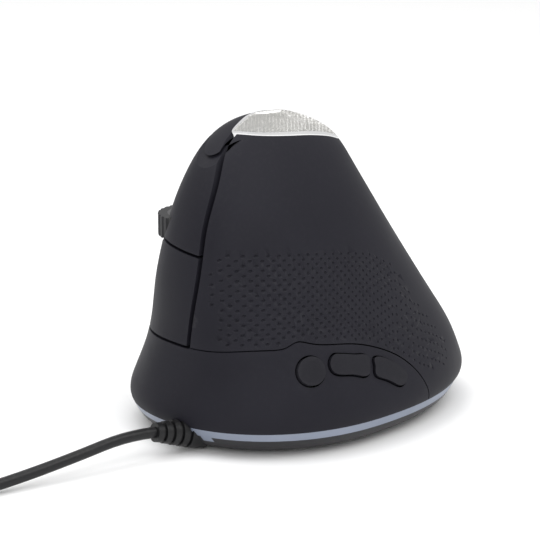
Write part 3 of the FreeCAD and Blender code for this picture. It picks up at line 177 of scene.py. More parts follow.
class Effect:
    """A shader node group with named inputs and outputs, built once and used by several finishes."""

    name: str = ""
    inputs: dict[str, float] = {}
    outputs: tuple[str, ...] = ()

    def group(self) -> bpy.types.NodeTree:
        """Makes the node group, or finds it where it is already made.

        Returns:
            The group's tree.
        """
        made = bpy.data.node_groups.get(self.name)
        if made is not None:
            return made
        made = bpy.data.node_groups.new(self.name, "ShaderNodeTree")
        made.interface.new_socket("Vector", in_out="INPUT", socket_type="NodeSocketVector")
        for socket, value in self.inputs.items():
            item = made.interface.new_socket(socket, in_out="INPUT", socket_type="NodeSocketFloat")
            item.default_value = value
        for socket in self.outputs:
            made.interface.new_socket(socket, in_out="OUTPUT", socket_type="NodeSocketFloat")
        tree = Tree(made)
        start, end = tree.add("NodeGroupInput"), tree.add("NodeGroupOutput")
        self.build(tree, start.outputs, end.inputs)
        return made

    def build(self, tree: Tree, given: object, wanted: object) -> None:
        """Fills the group between its input and output sockets."""
        raise NotImplementedError

    def place(self, tree: Tree, vector: bpy.types.NodeSocket, **values: float) -> object:
        """Places the group in a material.

        Args:
            tree: the material's tree.
            vector: the coordinates that the pattern reads.
            **values: the group's own inputs, with underscores for spaces.

        Returns:
            The placed node's outputs.
        """
        node = tree.add("Group", node_tree=self.group())
        tree.join(vector, node.inputs["Vector"])
        for name, value in values.items():
            node.inputs[name.replace("_", " ")].default_value = value
        return node.outputs


class Grain(Effect):
    """Fine moulded grain with a slow mottling of tone."""

    PEBBLE_SHARE = 0.6
    TONE_RANGE = (0.35, 0.65)
    name = "moulded grain"
    inputs = {"Grain Pitch": 2400.0, "Mottle Pitch": 60.0}
    outputs = ("Relief", "Tone")

    def build(self, tree: Tree, given: object, wanted: object) -> None:
        """Joins a pebbled cell pattern with noise for the relief, and slow noise for the tone."""
        cells = tree.add("TexVoronoi", feature="SMOOTH_F1")
        noise = tree.add("TexNoise")
        noise.inputs["Detail"].default_value = 4.0
        noise.inputs["Roughness"].default_value = 0.6
        mottle = tree.add("TexNoise")
        mottle.inputs["Detail"].default_value = 5.0
        for texture, pitch in ((cells, "Grain Pitch"), (noise, "Grain Pitch"), (mottle, "Mottle Pitch")):
            tree.join(given["Vector"], texture.inputs["Vector"])
            tree.join(given[pitch], texture.inputs["Scale"])
        relief = tree.math("MULTIPLY_ADD", cells.outputs["Distance"], self.PEBBLE_SHARE)
        tree.join(noise.outputs[0], relief.node.inputs[2])
        tree.join(relief, wanted["Relief"])
        spread = tree.add("MapRange")
        spread.inputs["From Min"].default_value, spread.inputs["From Max"].default_value = self.TONE_RANGE
        tree.join(mottle.outputs[0], spread.inputs["Value"])
        tree.join(spread.outputs[0], wanted["Tone"])


class EdgeWear(Effect):
    """A mask of rubbed edges, broken up by noise."""

    CONVEX_RANGE = (0.52, 0.62)
    name = "edge wear"
    inputs = {"Amount": 0.4, "Break Up": 500.0}
    outputs = ("Mask",)

    def build(self, tree: Tree, given: object, wanted: object) -> None:
        """Takes the convex edges and thins them with noise."""
        shape = tree.add("NewGeometry")
        edge = tree.add("MapRange")
        edge.inputs["From Min"].default_value, edge.inputs["From Max"].default_value = self.CONVEX_RANGE
        tree.join(shape.outputs["Pointiness"], edge.inputs["Value"])
        noise = tree.add("TexNoise")
        noise.inputs["Detail"].default_value = 3.0
        tree.join(given["Vector"], noise.inputs["Vector"])
        tree.join(given["Break Up"], noise.inputs["Scale"])
        rubbed = tree.math("MULTIPLY", edge.outputs[0], noise.outputs[0])
        mask = tree.math("MULTIPLY", rubbed, given["Amount"], clamp=True)
        tree.join(mask, wanted["Mask"])


class Dust(Effect):
    """A mask of fine dust that settles on what faces up."""

    SPECK_RANGE = (0.5, 0.75)
    name = "settled dust"
    inputs = {"Amount": 0.1, "Speck Pitch": 900.0}
    outputs = ("Mask",)

    def build(self, tree: Tree, given: object, wanted: object) -> None:
        """Multiplies how far the surface faces up by two sizes of noise."""
        shape = tree.add("NewGeometry")
        up = tree.add("SeparateXYZ")
        tree.join(shape.outputs["Normal"], up.inputs[0])
        facing = tree.math("MAXIMUM", up.outputs["Z"], 0.0)
        specks = tree.add("TexNoise")
        specks.inputs["Detail"].default_value = 6.0
        tree.join(given["Vector"], specks.inputs["Vector"])
        tree.join(given["Speck Pitch"], specks.inputs["Scale"])
        spots = tree.add("MapRange")
        spots.inputs["From Min"].default_value, spots.inputs["From Max"].default_value = self.SPECK_RANGE
        tree.join(specks.outputs[0], spots.inputs["Value"])
        laid = tree.math("MULTIPLY", facing, spots.outputs[0])
        tree.join(tree.math("MULTIPLY", laid, given["Amount"], clamp=True), wanted["Mask"])


# ---------------------------------------------------------------- finishes

DUST_COLOUR: Colour = (0.32, 0.31, 0.30)
COAT_ROUGHNESS = 0.15


@dataclass(frozen=True)
class Finish:
    """One surface finish, made as a procedural material.

    Attributes:
        label: the material's name.
        base: the main colour.
        mottled: the colour that slow mottling mixes in.
        worn: the colour of rubbed edges.
        roughness: the mean roughness.
        roughness_spread: how much the roughness varies with the mottling.
        metallic: 1 for metal.
        specular: the specular level.
        coat: the weight of a clear coat.
        grain_pitch: the grain's cells per metre.
        grain_depth: the grain's height in metres.
        mottle_pitch: the mottling's size, in patches per metre.
        wear: how far edges are rubbed.
        dust: how much dust lies on top.
    """

    label: str
    base: Colour
    mottled: Colour
    worn: Colour
    roughness: float = 0.5
    roughness_spread: float = 0.08
    metallic: float = 0.0
    specular: float = 0.5
    coat: float = 0.0
    grain_pitch: float = 2400.0
    grain_depth: float = 12e-6
    mottle_pitch: float = 60.0
    wear: float = 0.4
    dust: float = 0.08

    def make(self) -> bpy.types.Material:
        """Makes the material, or finds it where it is already made.

        Returns:
            The material.
        """
        made = bpy.data.materials.get(self.label)
        if made is not None:
            return made
        made = bpy.data.materials.new(self.label)
        made.use_nodes = True
        tree = Tree(made.node_tree)
        shader = next(node for node in made.node_tree.nodes if node.type == "BSDF_PRINCIPLED")
        place = tree.add("TexCoord").outputs["Object"]
        grain = Grain().place(tree, place, Grain_Pitch=self.grain_pitch, Mottle_Pitch=self.mottle_pitch)
        wear = EdgeWear().place(tree, place, Amount=self.wear)
        dust = Dust().place(tree, place, Amount=self.dust)
        colour, height = self.pattern(tree, place, grain)
        colour = tree.mix(wear["Mask"], colour, self.worn)
        colour = tree.mix(dust["Mask"], colour, DUST_COLOUR)
        tree.join(colour, shader.inputs["Base Color"])
        rough = tree.math("MULTIPLY_ADD", grain["Tone"], self.roughness_spread)
        rough.node.inputs[2].default_value = self.roughness - self.roughness_spread / 2.0
        tree.join(tree.math("ADD", rough, dust["Mask"], clamp=True), shader.inputs["Roughness"])
        shader.inputs["Metallic"].default_value = self.metallic
        shader.inputs["Specular IOR Level"].default_value = self.specular
        shader.inputs["Coat Weight"].default_value = self.coat
        shader.inputs["Coat Roughness"].default_value = COAT_ROUGHNESS
        bump = tree.add("Bump")
        bump.inputs["Distance"].default_value = self.grain_depth
        tree.join(height, bump.inputs["Height"])
        tree.join(bump.outputs[0], shader.inputs["Normal"])
        self.extras(tree, shader, grain)
        return made

    def pattern(self, tree: Tree, place: object, grain: object) -> tuple[object, object]:
        """The finish's own colour and relief.

        Args:
            tree: the material's tree.
            place: the coordinates that a pattern reads.
            grain: the outputs of the grain group.

        Returns:
            The colour's socket and the height's socket.
        """
        return tree.mix(grain["Tone"], self.base, self.mottled), grain["Relief"]

    def extras(self, tree: Tree, shader: object, grain: object) -> None:
        """What one finish adds to its shader; nothing here."""


@dataclass(frozen=True)
class FrostedFinish(Finish):
    """A frosted strip that lets light through and glows a little.

    Attributes:
        through: the share of light that passes.
        glow: the strength of its own light.
    """

    through: float = 0.1
    glow: float = 0.05

    def extras(self, tree: Tree, shader: object, grain: object) -> None:
        """Sets the light that passes and the faint glow."""
        shader.inputs["Transmission Weight"].default_value = self.through
        shader.inputs["Emission Color"].default_value = (*self.base, 1.0)
        shader.inputs["Emission Strength"].default_value = self.glow


@dataclass(frozen=True)
class BrushedFinish(Finish):
    """Metal with fine lines along one direction.

    Attributes:
        line_pitch: brush lines per metre.
        line_stretch: how many times longer than wide a line is.
    """

    line_pitch: float = 6000.0
    line_stretch: float = 60.0

    def pattern(self, tree: Tree, place: object, grain: object) -> tuple[object, object]:
        """Stretches noise along one axis into brush lines."""
        stretch = tree.add("Mapping")
        along = self.line_pitch / self.line_stretch
        stretch.inputs["Scale"].default_value = (self.line_pitch, self.line_pitch, along)
        tree.join(place, stretch.inputs["Vector"])
        lines = tree.add("TexNoise")
        lines.inputs["Scale"].default_value = 1.0
        lines.inputs["Detail"].default_value = 2.0
        tree.join(stretch.outputs[0], lines.inputs["Vector"])
        return tree.mix(lines.outputs[0], self.base, self.mottled), lines.outputs[0]


@dataclass(frozen=True)
class BoardFinish(Finish):
    """A circuit board with tracks under its green mask.

    Attributes:
        track_pitch: tracks per metre.
        track_edge: how far from a cell's middle its track begins.
    """

    track_pitch: float = 900.0
    track_edge: float = 0.42

    def pattern(self, tree: Tree, place: object, grain: object) -> tuple[object, object]:
        """Draws square tracks as steps between cells."""
        cells = tree.add("TexVoronoi", distance="CHEBYCHEV", feature="F1")
        cells.inputs["Scale"].default_value = self.track_pitch
        tree.join(place, cells.inputs["Vector"])
        track = tree.math("GREATER_THAN", cells.outputs["Distance"], self.track_edge)
        return tree.mix(track, self.base, self.mottled), track


SOFT_TOUCH = Finish(
    "soft-touch shell", (0.0100, 0.0096, 0.0145), (0.0120, 0.0116, 0.0170), (0.026, 0.026, 0.031),
    roughness=0.55, specular=0.15, grain_depth=10e-6, wear=0.25, dust=0.015,
)
KEY = Finish(
    "side key", (0.0095, 0.0092, 0.0130), (0.0118, 0.0114, 0.0155), (0.030, 0.030, 0.035),
    roughness=0.5, specular=0.18, grain_depth=8e-6, wear=0.35, dust=0.015,
)
HULL = Finish(
    "hull plastic", (0.016, 0.0155, 0.018), (0.021, 0.0205, 0.0235), (0.04, 0.04, 0.044),
    roughness=0.42, specular=0.32, grain_pitch=1600.0, grain_depth=18e-6, dust=0.03,
)
STRIP = FrostedFinish(
    "frosted strip", (0.23, 0.26, 0.335), (0.20, 0.23, 0.30), (0.33, 0.36, 0.42),
    roughness=0.35, grain_depth=6e-6, dust=0.0, wear=0.2,
)
CHROME = Finish(
    "polished chrome", (0.80, 0.80, 0.80), (0.72, 0.72, 0.73), (0.9, 0.9, 0.9),
    roughness=0.12, roughness_spread=0.05, metallic=1.0, grain_depth=1e-6, wear=0.2, dust=0.02,
)
WIRE = BrushedFinish(
    "silver wire", (0.86, 0.85, 0.82), (0.70, 0.69, 0.67), (0.92, 0.92, 0.91),
    roughness=0.36, metallic=0.75, grain_depth=3e-6, dust=0.03,
)
WIRE_BACKING = Finish(
    "cloth behind the wires", (0.34, 0.34, 0.33), (0.26, 0.26, 0.26), (0.4, 0.4, 0.4),
    roughness=0.7, grain_depth=20e-6, wear=0.0,
)
FOOT = Finish(
    "glide film", (0.012, 0.012, 0.012), (0.016, 0.016, 0.016), (0.06, 0.06, 0.06),
    roughness=0.3, grain_depth=3e-6,
)
BOARD = BoardFinish(
    "green circuit board", (0.010, 0.085, 0.035), (0.018, 0.14, 0.055), (0.25, 0.18, 0.06),
    roughness=0.3, coat=0.3, grain_depth=20e-6, dust=0.0,
)
CHIP = Finish(
    "moulded chip", (0.012, 0.012, 0.013), (0.018, 0.018, 0.019), (0.05, 0.05, 0.05),
    roughness=0.55, grain_depth=8e-6, dust=0.0,
)
SWITCH = Finish(
    "switch housing", (0.014, 0.014, 0.016), (0.02, 0.02, 0.022), (0.06, 0.06, 0.06),
    roughness=0.35, grain_depth=4e-6, dust=0.0,
)
LENS = FrostedFinish(
    "clear lens", (0.80, 0.82, 0.84), (0.76, 0.78, 0.80), (0.9, 0.9, 0.9),
    roughness=0.08, grain_depth=1e-6, dust=0.0, wear=0.1, through=0.9, glow=0.0,
)
CONNECTOR = Finish(
    "white nylon", (0.62, 0.61, 0.57), (0.56, 0.55, 0.51), (0.75, 0.74, 0.7),
    roughness=0.4, grain_depth=4e-6, dust=0.0,
)
CAN = BrushedFinish(
    "capacitor can", (0.42, 0.44, 0.48), (0.34, 0.36, 0.40), (0.6, 0.6, 0.6),
    roughness=0.3, metallic=0.9, grain_depth=2e-6, dust=0.0,
)
INNER = Finish(
    "plain moulding", (0.030, 0.030, 0.033), (0.040, 0.040, 0.044), (0.08, 0.08, 0.08),
    roughness=0.5, grain_depth=8e-6, dust=0.0,
)
STEEL = BrushedFinish(
    "zinc-plated steel", (0.55, 0.55, 0.56), (0.44, 0.44, 0.45), (0.7, 0.7, 0.7),
    roughness=0.3, metallic=1.0, grain_depth=2e-6, dust=0.0,
)
TYRE = Finish(
    "wheel rubber", (0.012, 0.012, 0.014), (0.018, 0.018, 0.020), (0.04, 0.04, 0.042),
    roughness=0.6, specular=0.35, grain_depth=16e-6, wear=0.5, dust=0.04,
)
JACKET = Finish(
    "cord jacket", (0.0055, 0.0055, 0.0062), (0.0080, 0.0080, 0.0088), (0.020, 0.020, 0.021),
    roughness=0.38, roughness_spread=0.1, specular=0.32, grain_pitch=1800.0, grain_depth=10e-6,
    dust=0.05,
)
PLUG_STEEL = BrushedFinish(
    "nickel plate", (0.66, 0.65, 0.63), (0.54, 0.53, 0.52), (0.8, 0.8, 0.79),
    roughness=0.22, metallic=1.0, grain_depth=2e-6, dust=0.02,
)
GOLD = BrushedFinish(
    "gold flash", (0.83, 0.60, 0.24), (0.72, 0.50, 0.20), (0.6, 0.5, 0.4),
    roughness=0.25, metallic=1.0, grain_depth=1e-6, dust=0.0,
)

SLOT_FINISH: dict[Slot, Finish] = {
    Slot.SHELL: SOFT_TOUCH, Slot.KEY: KEY, Slot.HULL: HULL, Slot.STRIP: STRIP, Slot.CHROME: CHROME,
    Slot.WEAVE: WIRE_BACKING, Slot.FOOT: FOOT, Slot.BOARD: BOARD, Slot.CHIP: CHIP, Slot.SWITCH: SWITCH,
    Slot.LENS: LENS, Slot.CONNECTOR: CONNECTOR, Slot.CAN: CAN, Slot.INNER: INNER, Slot.STEEL: STEEL,
    Slot.TYRE: TYRE, Slot.JACKET: JACKET, Slot.PLUG_STEEL: PLUG_STEEL, Slot.GOLD: GOLD,
}


# ---------------------------------------------------------------- shared making


def new_piece(
    name: str, mesh: bmesh.types.BMesh, finish: Finish, body: Body, slot: Slot,
) -> bpy.types.Object:
    """Makes an object of a finished mesh, dresses it and lets it ride on a body.

    Args:
        name: the piece's name.
        mesh: the finished shape, which is freed.
        finish: what it is dressed in.
        body: what it moves with.
        slot: the record's slot for its finish; not used.

    Returns:
        The new object.
    """
    data = bpy.data.meshes.new(name)
    mesh.to_mesh(data)
    mesh.free()
    data.materials.append(finish.make())
    piece = bpy.data.objects.new(name, data)
    bpy.context.scene.collection.objects.link(piece)
    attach(piece, body.value)
    LOG.info("%s: %d faces", name, len(data.polygons))
    return piece


def merged_copy(node: str) -> bmesh.types.BMesh:
    """A copy of a CAD node's mesh with its doubled points merged.

    Args:
        node: the CAD node's name.

    Returns:
        The copy, as an editable mesh.
    """
    mesh = bmesh.new()
    mesh.from_mesh(frame["nodes"][node].data)
    bmesh.ops.remove_doubles(mesh, verts=mesh.verts, dist=MERGE_DISTANCE)
    return mesh


# ---------------------------------------------------------------- camera, floor and light


@dataclass
class Studio:
    """The camera, the pale floor and the soft light.

    Attributes:
        eye: where the camera stands.
        forward: the way that it looks.
        lens: its focal length in millimetres.
        floor_size: the floor's side.
        floor_tone: the floor's grey.
        aim: what the lights face.
        daylight: the strength of the surroundings.
    """

    eye: Vector = field(default_factory=lambda: Vector((-0.393146, 0.361495, 0.183971)))
    forward: Vector = field(default_factory=lambda: Vector((0.723369, -0.641405, -0.255612)))
    lens: float = 121.98
    floor_size: float = 6.0
    floor_tone: float = 0.93
    aim: Vector = field(default_factory=lambda: Vector((0.0, 0.0, 0.04)))
    daylight: float = 0.9

    def build(self) -> None:
        """Makes the camera first, then the floor, the lights and the surroundings."""
        data = bpy.data.cameras.new("camera")
        data.lens = self.lens
        data.clip_start = 0.01
        camera = bpy.data.objects.new("camera", data)
        bpy.context.scene.collection.objects.link(camera)
        camera.location = self.eye
        camera.rotation_euler = self.forward.to_track_quat("-Z", "Y").to_euler()
        bpy.context.scene.camera = camera
        self.floor()
        self.light("key softbox", (-0.55, -0.10, 0.95), 0.7, 3.6)
        self.light("front softbox", (-0.75, 0.85, 0.75), 0.9, 2.4)
        self.light("top softbox", (0.35, 0.25, 1.15), 0.9, 5.0)
        self.surroundings()

    def floor(self) -> None:
        """Makes the plain pale floor."""
        mesh = bmesh.new()
        bmesh.ops.create_grid(mesh, x_segments=1, y_segments=1, size=self.floor_size / 2.0)
        data = bpy.data.meshes.new("floor")
        mesh.to_mesh(data)
        mesh.free()
        floor = bpy.data.objects.new("floor", data)
        bpy.context.scene.collection.objects.link(floor)
        paper = bpy.data.materials.new("pale paper")
        paper.use_nodes = True
        shader = next(node for node in paper.node_tree.nodes if node.type == "BSDF_PRINCIPLED")
        shader.inputs["Base Color"].default_value = (*[self.floor_tone] * 3, 1.0)
        shader.inputs["Roughness"].default_value = 0.75
        shader.inputs["Specular IOR Level"].default_value = 0.2
        data.materials.append(paper)

    def light(self, name: str, spot: tuple[float, float, float], size: float, power: float) -> None:
        """Adds a square softbox that faces the object.

        Args:
            name: the lamp's name.
            spot: where it hangs.
            size: its side.
            power: its power in watts.
        """
        data = bpy.data.lights.new(name, "AREA")
        data.size = size
        data.energy = power
        lamp = bpy.data.objects.new(name, data)
        bpy.context.scene.collection.objects.link(lamp)
        lamp.location = spot
        lamp.rotation_euler = (self.aim - Vector(spot)).to_track_quat("-Z", "Y").to_euler()

    def surroundings(self) -> None:
        """Makes the even white surroundings."""
        world = bpy.data.worlds.new("studio")
        world.use_nodes = True
        back = world.node_tree.nodes["Background"]
        back.inputs["Color"].default_value = (1.0, 1.0, 1.0, 1.0)
        back.inputs["Strength"].default_value = self.daylight
        bpy.context.scene.world = world
        bpy.context.scene.view_settings.view_transform = "Standard"


# ---------------------------------------------------------------- cord


@dataclass
class Cord:
    """The free cord: its run to the coil, the coil's turns and its run to the plug.

    Attributes:
        diameter: the jacket's diameter.
        length: the cord's length from the strain relief to the plug; not used.
        lead: the run from the strain relief's tip to the coil.
        centre: the coil's middle.
        tail: the run from the coil to the plug.
        radii: the turns' radii in one layer, outer first.
        layers: the coil's layers.
        steps: points in one turn.
        shift_steps: points over which a turn moves on to the next column or layer.
        swell: how far a turn bows out of the coil where it climbs.
    """

    diameter: float = 3.2 * MM
    length: float = 1.39
    lead: tuple[tuple[float, float, float], ...] = (
        (-6.533, 62.259, 7.578), (-5.2, 71.0, 8.3), (-3.4, 87.0, 5.6), (-1.2, 104.0, 3.2),
        (1.4, 119.0, 1.6),
    )
    centre: tuple[float, float] = (23.0, 135.0)
    tail: tuple[tuple[float, float, float], ...] = (
        (34.0, 155.6, 9.0), (44.5, 151.0, 5.6), (50.6, 141.5, 4.0), (52.5, 131.0, 4.0),
    )
    radii: tuple[float, ...] = (21.2, 18.0, 14.8)
    layers: int = 4
    steps: int = 16
    shift_steps: int = 2
    swell: float = 1.3

    def turns(self) -> list[tuple[float, float, float]]:
        """The coil's points, turn by turn, from the outer bottom turn to the outer top one.

        Returns:
            The points in millimetres.
        """
        columns = []
        for layer in range(self.layers):
            order = self.radii if layer % 2 == 0 else self.radii[::-1]
            columns += [(radius, layer) for radius in order]
        # The smooth line runs inside its control points, so they stand a little further out.
        outward = 1.0 / (0.5 + 0.5 * math.cos(math.pi / self.steps) ** 2)
        points = []
        last = len(columns) - 1
        for number, (radius, layer) in enumerate(columns):
            count = self.steps if number < last else self.steps // 4 + 1
            for step in range(count):
                share = max(0.0, (step - (self.steps - self.shift_steps)) / self.shift_steps)
                wide, high = radius, float(layer)
                if share > 0.0 and number < last:
                    next_radius, next_layer = columns[number + 1]
                    wide += (next_radius - radius) * share
                    high += (next_layer - layer) * share
                    if next_layer != layer:
                        side = 1.0 if radius > self.radii[1] else -1.0
                        wide += self.swell * 2.0 * side * min(share, 1.0 - share)
                angle = math.pi - 2.0 * math.pi * step / self.steps
                grown = wide * outward
                points.append((
                    self.centre[0] + grown * math.cos(angle), self.centre[1] + grown * math.sin(angle),
                    (high + 0.5) * self.diameter / MM,
                ))
        return points

    def build(self) -> None:
        route = [*self.lead, *self.turns(), *self.tail]
        data = bpy.data.curves.new("usb_cord", "CURVE")
        data.dimensions = "3D"
        data.resolution_u = 5
        data.bevel_depth = self.diameter / 2.0
        data.bevel_resolution = 3
        data.use_fill_caps = True
        spline = data.splines.new("NURBS")
        spline.points.add(len(route) - 1)
        for point, spot in zip(spline.points, route):
            point.co = (*(value * MM for value in spot), 1.0)
        spline.order_u = 3
        spline.use_endpoint_u = True
        data.materials.append(JACKET.make())
        cord = bpy.data.objects.new("usb_cord", data)
        bpy.context.scene.collection.objects.link(cord)
        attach(cord, Body.CASE.value)
        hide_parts("cable_lead", "cable_coil", "cable_tail")
        start = tuple(value * MM for value in self.lead[0])
        LOG.info("usb_cord: %d points", len(route))


# ---------------------------------------------------------------- shells

TOWARD_FINGERS = Vector((1.0, 0.0, 0.0))


@dataclass
class Dimple:
    """One oval hollow of the grip field.

    Attributes:
        spot: its middle on the panel.
        outward: the panel's normal there.
        half_length: half its size along the panel.
        half_height: half its size up the panel.
        depth: how deep it is.
    """

    spot: Vector
    outward: Vector
    half_length: float
    half_height: float
    depth: float

    def place(self) -> Matrix:
        """The transform from a unit ball to this hollow.

        Returns:
            The transform.
        """
        along = Vector((0.0, 1.0, 0.0)).cross(self.outward).cross(self.outward).normalized()
        up = self.outward.cross(along).normalized()
        turn = Matrix((along, up, self.outward)).transposed().to_4x4()
        size = Matrix.Diagonal((self.half_length, self.half_height, self.depth, 1.0))
        return Matrix.Translation(self.spot) @ turn @ size


@dataclass
class GripPanel:
    """The thumb panel with its field of small dimples.

    Attributes:
        front: the first column's Y at its top.
        rear: the last column's Y at its top.
        front_pitch: the distance between columns at the front.
        rear_pitch: the distance between columns at the rear.
        row_pitch: the distance between rows of one column, front and rear.
        lean: how far a column comes forward for each metre down, as (Y, lean), from front to rear.
        top_line: the field's upper edge as (Y, Z), from front to rear.
        bottom_line: the field's lower edge as (Y, Z), from front to rear.
        margin: how far the field stays from the panel's edge.
        front_dimple: half length and half height at the front.
        rear_dimple: half length and half height at the rear.
        depth: the dimples' depth.
        ease_rate: how soon behind the front the rear's sizes are reached.
        start: an X that is outside the case on the thumb side.
    """

    front: float = 44.4 * MM
    rear: float = -31.0 * MM
    front_pitch: float = 1.62 * MM
    rear_pitch: float = 1.42 * MM
    row_pitch: tuple[float, float] = (2.75 * MM, 2.15 * MM)
    lean: tuple[tuple[float, float], ...] = (
        (50.0, 0.10), (44.0, 0.12), (38.0, 0.19), (24.0, 0.30), (-4.0, 0.43), (-60.0, 0.5),
    )
    top_line: tuple[tuple[float, float], ...] = (
        (60.0, 57.4), (50.0, 57.2), (35.0, 56.6), (20.0, 55.4), (3.0, 53.2), (-3.8, 51.8), (-13.5, 46.8),
        (-19.6, 36.0), (-27.3, 25.6), (-31.0, 19.5), (-60.0, 17.0),
    )
    bottom_line: tuple[tuple[float, float], ...] = (
        (60.0, 31.0), (10.0, 27.0), (-6.0, 20.0), (-15.0, 16.5), (-60.0, 16.0),
    )
    margin: float = 1.0 * MM
    front_dimple: tuple[float, float] = (0.70 * MM, 0.34 * MM)
    rear_dimple: tuple[float, float] = (0.38 * MM, 0.44 * MM)
    depth: float = 0.32 * MM
    ease_rate: float = 1.6
    start: float = -0.2

    @staticmethod
    def along(line: tuple[tuple[float, float], ...], y: float) -> float:
        """Reads a line of (Y, value) pairs at one Y.

        Args:
            line: the pairs, from front to rear, Y in millimetres.
            y: where along the panel, in metres.

        Returns:
            The value there.
        """
        for (y_front, front), (y_rear, rear) in zip(line, line[1:]):
            if y >= y_rear * MM:
                return front + (rear - front) * (y_front - y / MM) / (y_front - y_rear)
        return line[-1][1]

    def dimples(self, skin: BVHTree) -> Iterable[Dimple]:
        """Walks the columns from front to rear.

        Args:
            skin: the panel to lay the dimples on.

        Yields:
            Each dimple that lies well inside the panel.
        """
        column, odd = self.front, False
        while column > self.rear:
            share = (self.front - column) / (self.front - self.rear)
            ease = min(1.0, share * self.ease_rate)
            rows = self.row_pitch[0] + (self.row_pitch[1] - self.row_pitch[0]) * ease
            top = self.along(self.top_line, column) * MM
            lean = self.along(self.lean, column)
            z = top - (rows / 2.0 if odd else 0.0)
            y = column + lean * (top - z)
            while z > self.along(self.bottom_line, y) * MM:
                hit, normal, _, _ = skin.ray_cast(Vector((self.start, y, z)), TOWARD_FINGERS)
                if hit is not None and self.inside(skin, y, z, hit.x):
                    sizes = [a + (b - a) * ease for a, b in zip(self.front_dimple, self.rear_dimple)]
                    yield Dimple(hit, normal, *sizes, self.depth)
                z -= rows
                y = column + lean * (top - z)
            column -= self.front_pitch + (self.rear_pitch - self.front_pitch) * ease
            odd = not odd

    def inside(self, skin: BVHTree, y: float, z: float, x: float) -> bool:
        """Tells whether a place is well inside the panel.

        Args:
            skin: the panel.
            y: the place's Y.
            z: the place's Z.
            x: the place's X on the outer skin.

        Returns:
            True where the outer skin goes on all round.
        """
        for step_y, step_z in ((1, 0), (-1, 0), (0, 1), (0, -1)):
            start = Vector((self.start, y + step_y * self.margin, z + step_z * self.margin))
            hit, _, _, _ = skin.ray_cast(start, TOWARD_FINGERS)
            if hit is None or abs(hit.x - x) > 3.0 * self.margin:
                return False
        return True

    def build(self) -> None:
        """Cuts the dimples into a copy of the panel."""
        shell = merged_copy("thumb_panel")
        skin = BVHTree.FromBMesh(shell)
        balls = bmesh.new()
        count = 0
        for dimple in self.dimples(skin):
            bmesh.ops.create_icosphere(balls, subdivisions=2, radius=1.0, matrix=dimple.place())
            count += 1
        panel = new_piece("grip_panel", shell, SOFT_TOUCH, Body.CASE, Slot.SHELL)
        cut_with(panel, balls)
        smooth_by_angle(panel)
        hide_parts("thumb_panel")
        LOG.info("grip_panel: %d dimples", count)


def cut_with(piece: bpy.types.Object, cutter: bmesh.types.BMesh) -> None:
    """Cuts one closed mesh out of a piece.

    Args:
        piece: what is cut.
        cutter: what is taken away, which is freed.
    """
    data = bpy.data.meshes.new("cutter")
    cutter.to_mesh(data)
    cutter.free()
    tool = bpy.data.objects.new("cutter", data)
    bpy.context.scene.collection.objects.link(tool)
    cut = piece.modifiers.new("cut", "BOOLEAN")
    cut.operation = "DIFFERENCE"
    cut.solver = "MANIFOLD"
    cut.object = tool
    bpy.context.view_layer.update()
    whole = bpy.data.meshes.new_from_object(piece.evaluated_get(bpy.context.evaluated_depsgraph_get()))
    piece.modifiers.remove(cut)
    piece.data = whole
    bpy.data.objects.remove(tool)
    bpy.data.meshes.remove(data)


def smooth_by_angle(piece: bpy.types.Object) -> None:
    """Shades a piece smooth but for its sharp edges."""
    piece.data.shade_smooth()
    piece.data.set_sharp_from_angle(angle=SHARP_ANGLE)


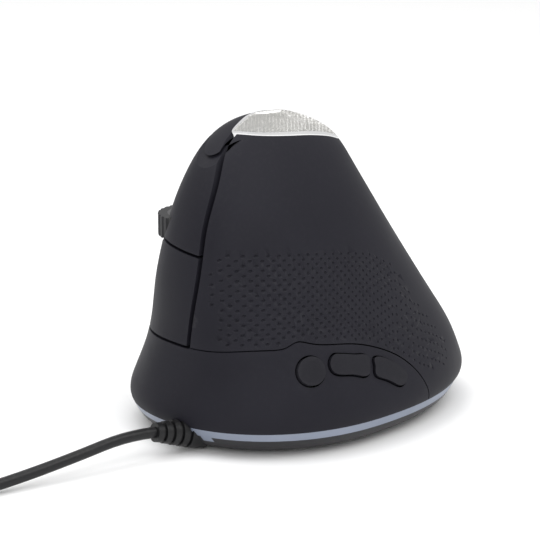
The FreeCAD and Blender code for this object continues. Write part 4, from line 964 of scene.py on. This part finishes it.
@dataclass
class CapWeave:
    """The lattice of silver wires over the cap.

    Attributes:
        warp_way: the direction of the long wires in plan.
        warp_pitch: the distance between the long wires.
        weft_pitch: the distance between the cross wires.
        wire: the wires' thickness.
        lift: how far the wires lie above the cap.
        steepest: the least upward lean of the faces that the wires cover.
    """

    warp_way: tuple[float, float] = (0.743, -0.669)
    warp_pitch: float = 1.05 * MM
    weft_pitch: float = 0.62 * MM
    wire: float = 0.26 * MM
    lift: float = 0.06 * MM
    steepest: float = 0.2

    def build(self) -> None:
        """Cuts the cap's face into cells and turns their edges into wires."""
        mesh = merged_copy("cap_mesh")
        hidden = [face for face in mesh.faces if face.normal.z < self.steepest]
        bmesh.ops.delete(mesh, geom=hidden, context="FACES")
        grid = mesh.edges.layers.int.new("grid")
        low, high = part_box("cap_mesh")
        middle = (low + high) / 2.0
        reach = (high - low).length / 2.0
        warp = Vector((*self.warp_way, 0.0)).normalized()
        side = warp.cross(Vector((0.0, 0.0, 1.0)))
        for across, pitch in ((side, self.warp_pitch), (warp, self.weft_pitch)):
            lines = int(reach / pitch)
            for line in range(-lines, lines + 1):
                everything = [*mesh.verts, *mesh.edges, *mesh.faces]
                cut = bmesh.ops.bisect_plane(
                    mesh, geom=everything, dist=CUT_TOLERANCE,
                    plane_co=middle + across * (line * pitch), plane_no=across,
                )["geom_cut"]
                for part in cut:
                    if isinstance(part, bmesh.types.BMEdge):
                        part[grid] = 1
        loose = [edge for edge in mesh.edges if edge[grid] == 0 and not edge.is_boundary]
        bmesh.ops.dissolve_edges(mesh, edges=loose, use_verts=False, use_face_split=False)
        for vert in mesh.verts:
            vert.co += vert.normal * self.lift
        bmesh.ops.wireframe(
            mesh, faces=mesh.faces, thickness=self.wire, offset=0.0, use_replace=True,
            use_boundary=True, use_even_offset=False,
        )
        weave = new_piece("cap_wires", mesh, WIRE, Body.CASE, Slot.WEAVE)
        smooth_by_angle(weave)


# ---------------------------------------------------------------- carried-over nodes


@dataclass
class Carried:
    """The CAD nodes whose shape is right: each is dressed in its slot's finish."""

    def dress(self) -> None:
        """Gives each node the finish of the slot that the record names for it."""
        slots = {part["node"]: Slot(part["material_slot"]) for part in frame["record"]["subparts"]}
        for name, node in frame["nodes"].items():
            made = SLOT_FINISH[slots[name]].make()
            if node.data.materials:
                node.data.materials[0] = made
            else:
                node.data.materials.append(made)
        LOG.info("%d carried nodes dressed", len(slots))


def main() -> None:
    """Builds the scene class by class."""
    logging.basicConfig(level=logging.INFO, format="%(name)s: %(message)s")
    Studio().build()
    Cord().build()
    Carried().dress()
    GripPanel().build()
    CapWeave().build()


if __name__ == "__main__":
    main()
